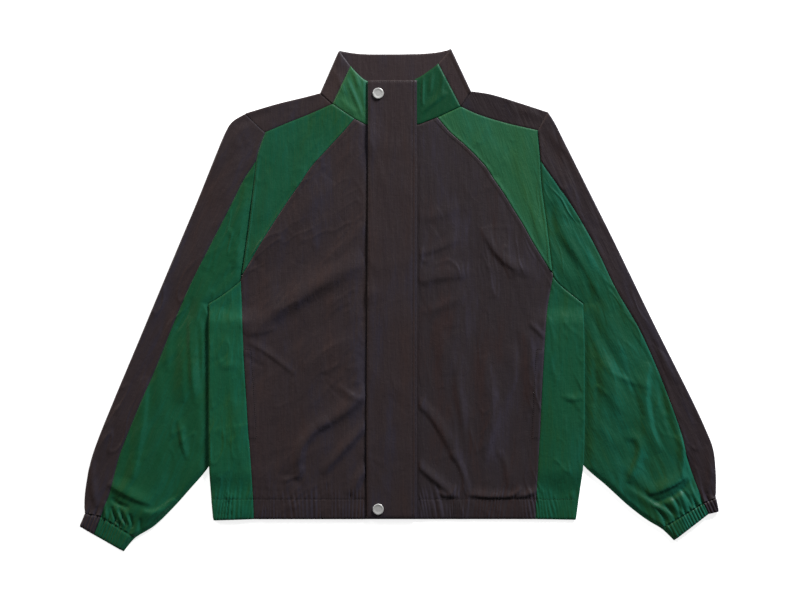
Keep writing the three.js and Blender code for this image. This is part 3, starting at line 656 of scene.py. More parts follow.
# Meshes
def shell(name, outer, inner, material):
    """A closed thin wall from its outer and inner faces, both rows of points in millimetres."""
    rows, columns = outer.shape[:2]
    points = np.concatenate([outer.reshape(-1, 3), inner.reshape(-1, 3)]) * MM
    index = np.arange(rows * columns).reshape(rows, columns)
    under = index + rows * columns

    def quads(a, b, c, d):
        return np.stack([a, b, c, d], -1).reshape(-1, 4)

    faces = np.concatenate([
        quads(index[:-1, :-1], index[1:, :-1], index[1:, 1:], index[:-1, 1:]),
        quads(under[:-1, :-1], under[:-1, 1:], under[1:, 1:], under[1:, :-1]),
        quads(index[0, :-1], index[0, 1:], under[0, 1:], under[0, :-1]),
        quads(index[-1, 1:], index[-1, :-1], under[-1, :-1], under[-1, 1:]),
        quads(index[1:, 0], index[:-1, 0], under[:-1, 0], under[1:, 0]),
        quads(index[:-1, -1], index[1:, -1], under[1:, -1], under[:-1, -1]),
    ])
    a, b, c, d = (points[faces[:, k]] for k in range(4))
    volume = np.einsum("ij,ij->", a, np.cross(b, c)) + np.einsum("ij,ij->", a, np.cross(c, d))
    if volume < 0:
        faces = faces[:, ::-1]
    smooth = np.arange(len(faces)) < 2 * (rows - 1) * (columns - 1)
    return mesh_object(name, points, faces, material, smooth)


def mesh_object(name, points, faces, material, smooth):
    """A mesh of faces with equal numbers of corners, those marked smooth shaded as one surface."""
    mesh = bpy.data.meshes.new(name)
    mesh.vertices.add(len(points))
    mesh.vertices.foreach_set("co", np.asarray(points, np.float32).ravel())
    sides = faces.shape[1]
    mesh.loops.add(faces.size)
    mesh.loops.foreach_set("vertex_index", np.asarray(faces, np.int32).ravel())
    mesh.polygons.add(len(faces))
    mesh.polygons.foreach_set("loop_start", np.arange(0, faces.size, sides, dtype=np.int32))
    mesh.polygons.foreach_set("use_smooth", smooth)
    mesh.update(calc_edges=True)
    mesh.validate()
    mesh.materials.append(material)
    piece = bpy.data.objects.new(name, mesh)
    bpy.context.scene.collection.objects.link(piece)
    return piece


def with_height(grid, height):
    return np.concatenate([grid, height[:, :, None]], axis=2)


def plan_area(grid):
    """Area of a grid in square metres."""
    a, b = grid[1:, 1:] - grid[:-1, :-1], grid[1:, :-1] - grid[:-1, 1:]
    return float(np.abs(a[..., 0] * b[..., 1] - a[..., 1] * b[..., 0]).sum() / 2) * MM * MM


CUT_MARGIN = 1.02  # of the area, so that the cut's rectangle holds it
SLIM_SHARE = 0.301  # a piece that fills less of its box than this is a slanted strip
SLIM_MARGIN = 1.25  # of a strip's mean width


def cloth_piece(piece, node, area, fullness=1.0):
    """Works out the size of the cut a shell stands for, attaches the shell to the root and hides its solid."""
    low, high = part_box(node)
    width, length = high.x - low.x, high.y - low.y
    shown_area = area * fullness
    stretch = math.sqrt(max(1.0, shown_area / (width * length)) * CUT_MARGIN)
    width, length = width * stretch, length * stretch
    if shown_area < SLIM_SHARE * width * length:
        width, length = slim_cut(width, length, shown_area)
    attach(piece, "root")
    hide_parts(node)


def slim_cut(width, length, area):
    """Size of the cut of a strip that lies slanted in its box: as long as its diagonal."""
    diagonal = math.hypot(width, length)
    return area / diagonal * SLIM_MARGIN, diagonal


def upper_shell(name, grid, top, cloth, material):
    return shell(name, with_height(grid, top), with_height(grid, top - cloth), material)


def lower_shell(name, grid, floor, cloth, material):
    return shell(name, with_height(grid, floor), with_height(grid, floor + cloth), material)


def folded_shell(name, place, widths, zone_top, zone_floor, material, relief, spacing=GRID):
    """A strip folded over an edge. place(distance) gives plan points, distance measured from the seam."""
    widths = np.asarray(widths, float)[:, None]
    half = np.full_like(widths, LAID_HEIGHT / 2)
    turn = place(widths - half)
    top = on_grid(zone_top, turn)
    floor = on_grid(zone_floor, turn)
    radius = (top - floor) / 2
    turn_at = widths - radius
    count = max(4, int(widths.max() / spacing))
    shares = np.concatenate([[0, 0.6, 1.4, 2.4], np.linspace(3.6, widths.max(), count)[:-1]]) / widths.max()
    distances = turn_at * shares[None, :]
    upper = place(distances)
    upper_height = on_grid(zone_top, upper) + relief(distances)
    last = place(turn_at)
    last_height = on_grid(zone_top, last) + relief(turn_at)
    radius = (last_height - floor) / 2
    outward = place(widths) - turn
    outward /= np.linalg.norm(outward, axis=2, keepdims=True)
    angles = ROLL_ANGLES[None, :]
    lower_shares = np.linspace(1, 0, 6)
    lower = place(turn_at * lower_shares[None, :])
    lower_height = on_grid(zone_floor, lower)

    def bend(reach):
        plan = last + outward * (reach * np.cos(angles))[:, :, None]
        return with_height(plan, floor + radius + reach * np.sin(angles))

    outer = np.concatenate([
        with_height(upper, upper_height), with_height(last, last_height),
        bend(radius), with_height(lower, lower_height)], axis=1)
    inner = np.concatenate([
        with_height(upper, upper_height - CLOTH), with_height(last, last_height - CLOTH),
        bend(radius - CLOTH), with_height(lower, lower_height + CLOTH)], axis=1)
    return shell(name, outer, inner, material)


# Materials
def new_group(name, inputs, outputs):
    group = bpy.data.node_groups.new(name, "ShaderNodeTree")
    for socket, kind, value in inputs:
        made = group.interface.new_socket(socket, in_out="INPUT", socket_type=kind)
        made.default_value = value
    for socket, kind in outputs:
        group.interface.new_socket(socket, in_out="OUTPUT", socket_type=kind)
    return group, group.nodes.new("NodeGroupInput"), group.nodes.new("NodeGroupOutput")


def node(tree, kind, **settings):
    made = tree.nodes.new(kind)
    for key, value in settings.items():
        setattr(made, key, value)
    return made


def noise(tree, vector, scale, detail=2.0, roughness=0.5):
    made = node(tree, "ShaderNodeTexNoise")
    made.inputs["Scale"].default_value = scale
    made.inputs["Detail"].default_value = detail
    made.inputs["Roughness"].default_value = roughness
    tree.links.new(vector, made.inputs["Vector"])
    return made


def stretched(tree, vector, scale):
    made = node(tree, "ShaderNodeMapping")
    made.inputs["Scale"].default_value = scale
    tree.links.new(vector, made.inputs["Vector"])
    return made.outputs[0]


def math_node(tree, operation, first, second):
    made = node(tree, "ShaderNodeMath", operation=operation)
    for socket, value in zip(made.inputs, (first, second)):
        if isinstance(value, (int, float)):
            socket.default_value = value
        else:
            tree.links.new(value, socket)
    return made.outputs[0]


RANGE_SOCKETS = ("From Min", "From Max", "To Min", "To Max")


def map_range(tree, value, from_low, from_high, to_low=0.0, to_high=1.0):
    made = node(tree, "ShaderNodeMapRange", interpolation_type="SMOOTHSTEP")
    for name, number in zip(RANGE_SOCKETS, (from_low, from_high, to_low, to_high)):
        made.inputs[name].default_value = number
    tree.links.new(value, made.inputs["Value"])
    return made.outputs["Result"]


def mix_colour(tree, factor, first, second):
    made = node(tree, "ShaderNodeMix", data_type="RGBA")
    sockets = [made.inputs["Factor"], *(s for s in made.inputs if s.type == "RGBA")]
    for socket, value in zip(sockets, (factor, first, second)):
        if isinstance(value, (int, float)):
            socket.default_value = value
        elif isinstance(value, tuple):
            socket.default_value = (*value, 1.0)
        else:
            tree.links.new(value, socket)
    return next(s for s in made.outputs if s.type == "RGBA")


def weighted_sum(tree, *parts):
    """Sum of values, each multiplied by its weight."""
    total = None
    for value, weight in parts:
        part = math_node(tree, "MULTIPLY", value, weight)
        total = part if total is None else math_node(tree, "ADD", total, part)
    return total


def nylon_weave_group():
    """Height of the crinkled taffeta: thread slubs along the grain, fine ribs across it and soft dimples."""
    group, given, out = new_group(
        "nylon_weave",
        [("Vector", "NodeSocketVector", (0, 0, 0))],
        [("Height", "NodeSocketFloat"), ("Slub", "NodeSocketFloat")],
    )
    place = given.outputs["Vector"]
    slub = noise(group, stretched(group, place, (1.0, 0.05, 1.0)), 520, 3, 0.6).outputs["Fac"]
    ribs = noise(group, stretched(group, place, (0.12, 1.0, 1.0)), 900, 1).outputs["Fac"]
    dimples = noise(group, place, 150, 3, 0.55).outputs["Fac"]
    streaks = noise(group, stretched(group, place, (1.0, 0.13, 1.0)), 130, 3, 0.6).outputs["Fac"]
    lines = noise(group, stretched(group, place, (1.0, 0.35, 1.0)), 62, 2, 0.55)
    lines.inputs["Distortion"].default_value = 0.7
    from_line = math_node(group, "ABSOLUTE", math_node(group, "SUBTRACT", lines.outputs["Fac"], 0.5), 0.0)
    creases = map_range(group, from_line, 0.045, 0.0)
    height = weighted_sum(group, (slub, 0.22), (ribs, 0.1), (creases, 0.09), (dimples, 0.4), (streaks, 1.3))
    group.links.new(height, out.inputs["Height"])
    group.links.new(slub, out.inputs["Slub"])
    return group


def two_tone_and_painted_sheen_group():
    """Warp and weft of two colours: which one shows drifts over the cloth at random, and also turns with which
    way the cloth tilts, a painted sheen that gives the flanks facing the key light one colour and those turned
    away the other.
    """
    group, given, out = new_group(
        "two_tone_and_painted_sheen",
        [("Vector", "NodeSocketVector", (0, 0, 0)), ("Slub", "NodeSocketFloat", 0.5),
         ("Middle", "NodeSocketColor", (0.1, 0.1, 0.1, 1)), ("Warp", "NodeSocketColor", (0.1, 0.1, 0.1, 1)),
         ("Weft", "NodeSocketColor", (0.1, 0.1, 0.1, 1))],
        [("Color", "NodeSocketColor")],
    )
    geometry = node(group, "ShaderNodeNewGeometry")
    # Painted sheen: the normal's tilt towards the key light brings out the weft colour, its tilt away brings
    # out the warp.
    painted_sheen_slope = node(group, "ShaderNodeVectorMath", operation="DOT_PRODUCT")
    painted_sheen_slope.inputs[1].default_value = (-0.85, 0.25, 0.0)
    group.links.new(geometry.outputs["Normal"], painted_sheen_slope.inputs[0])
    drawn_out = stretched(group, given.outputs["Vector"], (1.0, 0.25, 1.0))
    drift = noise(group, drawn_out, 22, 3, 0.6).outputs["Fac"]
    from_middle = [math_node(group, "SUBTRACT", value, 0.5) for value in (drift, given.outputs["Slub"])]
    tone = weighted_sum(group, (from_middle[0], 2.3), (painted_sheen_slope.outputs["Value"], 1.9), (from_middle[1], 0.8))
    # The warp and weft shares mix the random drift with the painted sheen.
    warp = map_range(group, tone, 0.0, 0.6)
    weft = map_range(group, tone, 0.0, -0.6)
    with_warp = mix_colour(group, warp, given.outputs["Middle"], given.outputs["Warp"])
    with_both = mix_colour(group, weft, with_warp, given.outputs["Weft"])
    group.links.new(with_both, out.inputs["Color"])
    return group


WEAVE = nylon_weave_group()
TWO_TONE_AND_PAINTED_SHEEN = two_tone_and_painted_sheen_group()


def srgb(red, green, blue):
    """A colour given as it looks on a screen, from 0 to 255."""
    shares = (value / 255 for value in (red, green, blue))
    return tuple(((v + 0.055) / 1.055) ** 2.4 if v > 0.0405 else v / 12.92 for v in shares)


def new_material(name):
    material = bpy.data.materials.new(name)
    material.use_nodes = True
    tree = material.node_tree
    return material, tree, tree.nodes["Principled BSDF"]


def nylon(name, grain, *screen_colours):
    """The cloth as one piece shows it: the angle of its grain, and its middle, warp and weft tones, between
    which a painted sheen switches with the cloth's tilt.
    """
    material, tree, shader = new_material(name)
    turn = node(tree, "ShaderNodeVectorRotate", rotation_type="Z_AXIS")
    turn.inputs["Angle"].default_value = grain
    tree.links.new(node(tree, "ShaderNodeTexCoord").outputs["Object"], turn.inputs["Vector"])
    weave = node(tree, "ShaderNodeGroup", node_tree=WEAVE)
    tree.links.new(turn.outputs[0], weave.inputs["Vector"])
    two_tone_and_painted_sheen = node(tree, "ShaderNodeGroup", node_tree=TWO_TONE_AND_PAINTED_SHEEN)
    tree.links.new(turn.outputs[0], two_tone_and_painted_sheen.inputs["Vector"])
    tree.links.new(weave.outputs["Slub"], two_tone_and_painted_sheen.inputs["Slub"])
    # The lighter weft colours of the greens show as a painted highlight on flanks facing the key light.
    for socket, colour in zip(("Middle", "Warp", "Weft"), screen_colours):
        two_tone_and_painted_sheen.inputs[socket].default_value = (*srgb(*colour), 1.0)
    tree.links.new(two_tone_and_painted_sheen.outputs["Color"], shader.inputs["Base Color"])
    rough = map_range(tree, weave.outputs["Slub"], 0.3, 0.7, 0.44, 0.58)
    tree.links.new(rough, shader.inputs["Roughness"])
    bump = node(tree, "ShaderNodeBump")
    bump.inputs["Strength"].default_value = 0.7
    bump.inputs["Distance"].default_value = 0.001
    tree.links.new(weave.outputs["Height"], bump.inputs["Height"])
    tree.links.new(bump.outputs["Normal"], shader.inputs["Normal"])
    shader.inputs["Specular IOR Level"].default_value = 0.2
    shader.inputs["Sheen Weight"].default_value = 0.04
    shader.inputs["Sheen Roughness"].default_value = 0.4
    return material


# Copies of the brown nylon for some pieces: the collar's is lighter, a painted highlight, and the left front's
# middle tone, the left sleeve stripe's and the left shoulder strip's are darker, painted shade.
BROWN = {
    "body": nylon("brown_nylon", 0.0, (49, 40, 42), (53, 40, 39), (48, 43, 52)),
    "left_front": nylon("brown_nylon_left_front_shaded", 0.0, (46, 39, 42), (50, 37, 37), (53, 48, 58)),
    "collar": nylon("brown_nylon_collar_lit", 0.0, (52, 42, 44), (56, 44, 43), (50, 44, 51)),
    "right": nylon("brown_nylon_right_sleeve", 0.40, (49, 40, 42), (53, 40, 39), (48, 43, 52)),
    "left": nylon("brown_nylon_left_sleeve_shaded", -0.42, (44, 36, 39), (48, 36, 36), (45, 40, 49)),
    "left_shoulder": nylon("brown_nylon_left_shoulder_shaded", -0.42, (41, 33, 36), (45, 34, 34), (41, 36, 44)),
}
# Copies of the green nylon for some pieces: the right side panel's, the left yoke's and the right collar
# front's are lighter, painted light, and the left collar front's is darker, painted shade.
GREEN = {
    "body": nylon("green_nylon", 0.0, (17, 77, 51), (23, 73, 40), (17, 84, 64)),
    "right_side": nylon("green_nylon_right_side_lit", 0.0, (18, 82, 54), (25, 79, 43), (18, 90, 68)),
    "left_yoke": nylon("green_nylon_left_yoke_lit", -0.3, (33, 87, 56), (38, 86, 49), (29, 90, 65)),
    "right_collar": nylon("green_nylon_right_collar_lit", -0.3, (37, 90, 56), (43, 91, 49), (32, 92, 68)),
    "left_collar": nylon("green_nylon_left_collar_shaded", 0.2, (10, 65, 39), (16, 63, 32), (12, 76, 53)),
    "right": nylon("green_nylon_right_sleeve", 0.40, (16, 75, 46), (22, 72, 37), (18, 84, 60)),
    "left": nylon("green_nylon_left_sleeve", -0.42, (16, 75, 51), (23, 69, 36), (19, 90, 72)),
}


def thread_material(name, colour):
    """Thread of the given colour, a little darker and lighter at random along it."""
    material, tree, shader = new_material(name)
    place = node(tree, "ShaderNodeTexCoord").outputs["Object"]
    twist = noise(tree, place, 1800, 1).outputs["Fac"]
    shade = mix_colour(tree, twist, tuple(v * 0.7 for v in colour), tuple(v * 1.3 for v in colour))
    tree.links.new(shade, shader.inputs["Base Color"])
    shader.inputs["Roughness"].default_value = 0.55
    shader.inputs["Specular IOR Level"].default_value = 0.3
    return material


# The thread colours are the thread's own, made darker than the cloth as painted shade of the needle holes
# along the stitch lines.
BROWN_THREAD_WITH_PAINTED_SHADE = thread_material("brown_thread_with_painted_shade", srgb(32, 26, 29))
GREEN_THREAD_WITH_PAINTED_SHADE = thread_material("green_thread_with_painted_shade", srgb(14, 52, 34))


def steel_material():
    """Satin steel with a fine grain."""
    material, tree, shader = new_material("snap_steel")
    place = node(tree, "ShaderNodeTexCoord").outputs["Object"]
    grain = noise(tree, place, 2600, 3).outputs["Fac"]
    shade = mix_colour(tree, grain, srgb(196, 196, 194), srgb(226, 226, 224))
    tree.links.new(shade, shader.inputs["Base Color"])
    tree.links.new(map_range(tree, grain, 0.3, 0.7, 0.34, 0.48), shader.inputs["Roughness"])
    shader.inputs["Metallic"].default_value = 0.5
    return material


STEEL = steel_material()


# Pieces of the body
YOKE_MAP = {"row": [0, 3, 4, 5, 6, 7, 8, 9, 9.6, 10], "arm": [-3, 0, 1, 2, 3, 4, 5, 6, 7, 7.5]}


def yoke_upper(side, stops):
    """Upper edge of the yoke at the stops of its lower seam: along the shoulder, then down the armhole."""
    shoulder = side_line(side, "shoulder", "seam")(stops)
    arm = side_line(side, "armhole")(np.interp(stops, YOKE_MAP["row"], YOKE_MAP["arm"]))
    return np.where((stops <= 3)[:, None], shoulder, arm)


def make_yoke(name, side):
    stops = stops_along(side_line(side, "yoke"), 0, 10, GRID, close=(0,))
    lower, upper = side_line(side, "yoke")(stops), yoke_upper(side, stops)
    widths = row_widths(lower, upper)
    distances = across(widths, GRID)
    grid = grid_between(upper, lower, distances)
    run = run_lengths(grid)[:, None]
    top = on_grid(body_top, grid)
    arm_share = smoothstep(stops, 3, 4)[:, None]
    top += edge_rise(distances, 0.5, 6.0) * arm_share
    from_seam = widths[:, None] - distances
    top += 0.6 * (1 - smoothstep(from_seam, 0.8, 5.5))
    top -= edge_roll(distances, 0.5) + edge_roll(from_seam, 0.6, 0.8) + edge_roll(run, 0.6)
    piece = upper_shell(f"{name}_yoke_cloth", grid, top, CLOTH, GREEN.get(f"{name}_yoke", GREEN["body"]))
    cloth_piece(piece, f"{name}_yoke", plan_area(grid))


def neck_y(side, x):
    """Height of the neck seam at this distance from the middle."""
    flap_edge = abs(FLAP_FREE_X if side["sign"] < 0 else FLAP_SEWN_X) + FLAT_MARGIN
    shoulder, yoke = side["shoulder"], side["yoke"]
    bends = [
        (OPENING_X * side["sign"], NECK_OPENING_Y), (flap_edge, NECK_FLAP_Y), (yoke["x"][0], yoke["y"][0]),
        (shoulder["seam_x"][0], shoulder["seam_y"][0]), (shoulder["fold_x"][0], shoulder["fold_y"][0]),
    ]
    return np.interp(x, *zip(*bends))


def pocket_mouth(distance, y):
    """The pocket in the side seam: its edge stands up a little and its stitching presses a line beside it."""
    above_end = smoothstep(y, POCKET_END_Y - 4, POCKET_END_Y + 4)
    stretch = above_end * (1 - smoothstep(y, POCKET_TOP_Y - 4, POCKET_TOP_Y + 4))
    lip = 0.6 * (1 - smoothstep(distance, 9, 16))
    groove = 0.15 * np.exp(-((distance - POCKET_STITCH) / 1.0) ** 2)
    return stretch * (lip - groove)


def make_front(name, side):
    sign = side["sign"]
    opening = OPENING_X * sign
    seam = side_line(side, "body", "seam")
    yoke_stops = stops_along(side_line(side, "yoke"), 0, 10, GRID, close=(0,))
    seam_stops = stops_along(seam, 0, 7, GRID, close=(6, 7))
    outer = np.concatenate([side_line(side, "yoke")(yoke_stops), seam(seam_stops)])
    yoke_end_y = side["yoke"]["y"][0]
    tilt = (yoke_end_y - neck_y(side, opening)) * smoothstep(outer[:, 1], NECK_TILT_Y, yoke_end_y)
    inner = np.column_stack([np.full(len(outer), sign * opening), outer[:, 1] - tilt])
    widths = row_widths(outer, inner)
    distances = across(widths, GATHER_GRID)
    grid = grid_between(inner, outer, distances)
    neck_curve = neck_y(side, grid[:1, :, 0] * sign) - grid[:1, :, 1]
    fade = (1 - smoothstep(run_lengths(grid), 0, NECK_FADE))[:, None]
    grid[:, :, 1] += neck_curve * fade
    from_seam = widths[:, None] - distances
    run = run_lengths(grid)[:, None]
    top = on_grid(body_top, grid)
    below_yoke = smoothstep(-outer[:, 1], -30, 0)[:, None]
    top += pocket_mouth(from_seam, grid[:, :, 1]) * below_yoke
    top += edge_rise(from_seam, 0.35, 7.0) * (1 - below_yoke)
    top -= edge_roll(from_seam, 0.7, 1.4) * below_yoke + edge_roll(from_seam, 0.2, 1.0) * (1 - below_yoke)
    top -= edge_roll(run, 0.6) + edge_roll(run[-1] - run, 1.2, 2.0)
    piece = upper_shell(f"{name}_front_cloth", grid, top, CLOTH, BROWN.get(f"{name}_front", BROWN["body"]))
    cloth_piece(piece, f"{name}_front", plan_area(grid), 1.04)


def make_side_panel(name, side):
    seam = side_line(side, "body", "seam")
    edge = side_line(side, "body", "edge")
    stops = stops_along(seam, 0, 7, GRID, close=(0, 6, 7))
    starts, ends = seam(stops), edge(stops)
    widths = row_widths(starts, ends)
    shares = np.linspace(0, 1, 40)
    arm = side_line(side, "armhole")(np.interp(shares, [0, 0.25, 0.6, 1], [8, 9, 10, 11]))
    bow = arm - (arm[0] + (arm[-1] - arm[0]) * shares[:, None])

    def place(distances):
        plan = grid_between(starts, ends, distances)
        share = distances / widths[:, None]
        fade = (1 - smoothstep(stops, 0, 0.6))[:, None]
        for axis in (0, 1):
            plan[:, :, axis] += np.interp(share, shares, bow[:, axis]) * fade
        return plan

    run = fold_run(place, widths)

    def relief(distances):
        ends_roll = edge_roll(run, 0.35, 1.2) + edge_roll(run[-1] - run, 1.0, 2.0)
        return edge_rise(run, 0.25, 6.0) - edge_roll(distances, 0.6) - ends_roll

    green = GREEN.get(f"{name}_side", GREEN["body"])
    piece = folded_shell(f"{name}_side_panel_cloth", place, widths, body_top, body_floor, green, relief,
                         GATHER_GRID)
    area = 2 * plan_area(grid_between(starts, ends, widths[:, None] * np.linspace(0, 1, 9)))
    cloth_piece(piece, f"{name}_side_panel", area, 1.02)


def make_shoulder_strip(name, side):
    line = side_line(side, "shoulder", "seam")
    stops = stops_along(line, 0, 3, GRID, close=(0, 3))
    # Its last rows reach a little over the head of the sleeve
    cover = np.exp(-np.arange(len(stops))[::-1] / 1.2)[:, None] * np.array([side["sign"], -0.4])
    starts = line(stops) + cover
    ends = side_line(side, "shoulder", "fold")(stops) + 1.4 * cover
    widths = row_widths(starts, ends)
    place = lambda distances: grid_between(starts, ends, distances)
    run = fold_run(place, widths)

    def relief(distances):
        return -edge_roll(distances, 0.5) - edge_roll(run, 0.5) - edge_roll(run[-1] - run, 0.2)

    brown = BROWN.get(f"{name}_shoulder", BROWN["body"])
    piece = folded_shell(f"{name}_shoulder_strip_cloth", place, widths, body_top, body_floor, brown, relief)
    area = 2 * plan_area(place(widths[:, None] * np.linspace(0, 1, 5)))
    cloth_piece(piece, f"{name}_shoulder_strip", area)


def back_neck():
    """The neck seam of the back, between the two shoulders, as a function of stops from 0 to 2."""
    ends = [side_line(side, "shoulder", "seam")([0])[0] for side in SIDES.values()]
    middle = (ends[0] + ends[1]) / 2 - np.array([0, NECK_BACK_DIP])
    columns = np.array([ends[0], middle, ends[1]]).T
    return lambda stops: spline(list(columns), stops)


def make_back():
    lines = []
    for side in SIDES.values():
        shoulder = side_line(side, "shoulder", "seam")(np.linspace(0, 3, 16))
        arm = side_line(side, "armhole")(np.linspace(0, 8, 34)[1:])
        seam = side_line(side, "body", "seam")(np.linspace(0, 7, 42)[1:])
        lines.append(np.concatenate([shoulder, arm, seam]))
    grid = grid_between(*lines, across(row_widths(*lines), UNDER_GRID))
    shares = (grid[0, :, 0] - grid[0, 0, 0]) / (grid[0, -1, 0] - grid[0, 0, 0])
    dip = back_neck()(shares * 2)[:, 1] - grid[0, :, 1]
    grid[:, :, 1] += dip * (1 - smoothstep(run_lengths(grid), 0, NECK_FADE))[:, None]
    piece = lower_shell("back_panel_cloth", grid, on_grid(body_floor, grid), CLOTH, BROWN["body"])
    cloth_piece(piece, "back_panel", plan_area(grid))


# Pieces of a sleeve
def stripe_seam(side):
    """The stripe's seam as levels and points, from the armhole to the cuff."""
    stops = np.linspace(0, 15, 400)
    return stops, side_line(side, "stripe", "seam")(stops)


def sleeve_rows(side, spacing):
    """Rows of a sleeve: its point on the stripe's seam, that on the armhole or inner edge, and their stops."""
    below = side_line(side, "sleeve", "edge")
    arm = side_line(side, "armhole")
    arm_stops = stops_along(arm, ARM_STOPS[0], 11, spacing)[:-1]
    low_stops = stops_along(below, 0, 11, spacing, close=(10, 11))
    arm_y = np.interp(arm_stops, ARM_STOPS, side["arm_levels"])
    low_y = spline([side["sleeve"]["stripe_y"]], low_stops)[:, 0]
    edges = np.concatenate([arm(arm_stops), below(low_stops)])
    levels = np.concatenate([arm_y, low_y])
    table_stops = np.concatenate([arm_stops - 11, low_stops])
    seam_stops, seam = stripe_seam(side)
    starts = np.column_stack([np.interp(-levels, -seam[:, 1], seam[:, k]) for k in (0, 1)])
    shares = np.interp(-levels, -seam[:, 1], seam_stops)
    return starts, edges, table_stops, shares


def cuff_gathers(distances, stops):
    """Gathers of an elastic cuff: tight in its casing, pinched at its stitch line, fading up the sleeve."""
    rise = CUFF_STITCH_STOP - stops[:, None]
    above = 1 - smoothstep(rise, 0, 0.25)
    pinch = np.exp(-(rise / 0.06) ** 2)
    casing = smoothstep(-rise, 0, 0.2) * 0.35
    rising = np.maximum(rise, 0)
    pleats = 2.1 * wave(distances + 4, 9.5) * np.exp(-(rising / 0.75) ** 1.5) * smoothstep(rising, 0, 0.1)
    return CUFF_WAVE * wave(distances, CUFF_PITCH) * above * (1 - 0.3 * pinch) + pleats - 0.6 * pinch + casing


def make_sleeve(name, side):
    starts, edges, stops, _ = sleeve_rows(side, GRID)
    widths = row_widths(starts, edges)
    distances = across(widths, GRID)
    grid = grid_between(starts, edges, distances)
    free = smoothstep(stops, -0.1, 0.6)[:, None]
    from_edge = widths[:, None] - distances
    drop = free * (1 - smoothstep(from_edge, 0, 9))
    flat = grid.reshape(-1, 2)
    top = sleeve_top(flat, side, drop.ravel()).reshape(drop.shape)
    top += cuff_gathers(distances, stops) * (1 - drop)
    run = run_lengths(grid)[:, None]
    top -= edge_roll(distances, 0.6) + edge_roll(from_edge, 0.7) * (1 - free)
    beside_arm = np.exp(-(from_edge / side["arm_fall"]) ** 2) * smoothstep(stops, -9, -6)[:, None]
    top -= 1.8 * beside_arm * (1 - free)
    top -= edge_roll(run[-1] - run, 1.0, 2.0)
    top = np.maximum(top, CLOTH + 0.2 + CLOTH)  # clear of the sleeve's back
    piece = upper_shell(f"{name}_sleeve_front_cloth", grid, top, CLOTH, GREEN[name])
    cloth_piece(piece, f"{name}_sleeve_front", plan_area(grid), 1.05)
    starts, edges, _, _ = sleeve_rows(side, UNDER_GRID)
    grid = grid_between(starts, edges, across(row_widths(starts, edges), UNDER_GRID))
    piece = lower_shell(f"{name}_sleeve_back_cloth", grid, np.zeros(grid.shape[:2]), CLOTH, GREEN[name])
    cloth_piece(piece, f"{name}_sleeve_back", plan_area(grid))


def make_stripe(name, side):
    arm = side_line(side, "armhole")
    top_stops = stops_along(arm, 0, ARM_STOPS[0], GRID, close=(0,))[:-1]
    top_points = arm(top_stops)
    starts, _, stops, shares = sleeve_rows(side, GRID)
    starts = np.concatenate([top_points, starts])
    shares = np.concatenate([top_stops, shares])
    stops = np.concatenate([np.full(len(top_stops), -11.0), stops])
    ends = side_line(side, "stripe", "fold")(shares)
    # Its first rows are tucked under the shoulder strip
    tuck = np.exp(-np.arange(len(starts)) / 1.2)[:, None] * np.array([-0.6 * side["sign"], 0.9])
    starts, ends = starts + tuck, ends + 1.6 * tuck
    widths = row_widths(starts, ends)
    place = lambda distances: grid_between(starts, ends, distances)
    run = fold_run(place, widths)
    zone_top = lambda points: sleeve_top(points, side, np.zeros(len(points)))

    def relief(distances):
        gathers = cuff_gathers(distances + 3.0, stops)
        roll = edge_roll(distances, 0.6) + edge_roll(run, 1.4, 2.4) + edge_roll(run[-1] - run, 1.0, 2.0)
        return gathers + edge_rise(distances, 0.25, 6.0) - roll

    piece = folded_shell(f"{name}_sleeve_stripe_cloth", place, widths, zone_top,
                         lambda points: np.zeros(len(points)), BROWN[name], relief)
    area = 2 * plan_area(place(widths[:, None] * np.linspace(0, 1, 5)))
    cloth_piece(piece, f"{name}_sleeve_stripe", area, 1.02)


# Pieces of the collar
def make_collar_front(name, side):
    sign = side["sign"]
    rows = np.linspace(0, 1, 36)
    columns = side["collar"]
    stops = np.linspace(1, 6, 40)
    seam_x = np.interp(stops, range(7), columns["neck_x"])
    neck = np.column_stack([sign * seam_x, neck_y(side, seam_x)])
    top_edge = side_line(side, "collar", "top")(stops)
    grid = neck[None] + (top_edge - neck)[None] * rows[:, None, None]
    run = np.linalg.norm(grid - grid[:1], axis=2)
    from_top = run[-1:] - run
    from_seam = np.linalg.norm(grid - grid[:, :1], axis=2)
    top = on_grid(body_top, grid)
    top -= edge_roll(run, 0.7) + edge_roll(from_seam, 0.6) + edge_roll(from_top, 0.7)
    piece = upper_shell(f"{name}_collar_front_cloth", grid, top, COLLAR_CLOTH, GREEN[f"{name}_collar"])
    cloth_piece(piece, f"{name}_collar_front", plan_area(grid))


COLLAR_TOP = table("x y", [
    [-92.2, 386.9], [-89, 386.1], [-76.7, 383.8], [-61, 381.9], [-45.7, 381.3],
    [0.8, 381.3], [31.8, 381.9], [53.5, 383.5], [65.9, 385.6], [79.8, 389],
])


COLLAR_SIDE_AREA = 0.0030  # of each folded side, in square metres
COLLAR_CORNER_LIFT = 1.9  # how far the back's ends rise to meet the folded sides at the top


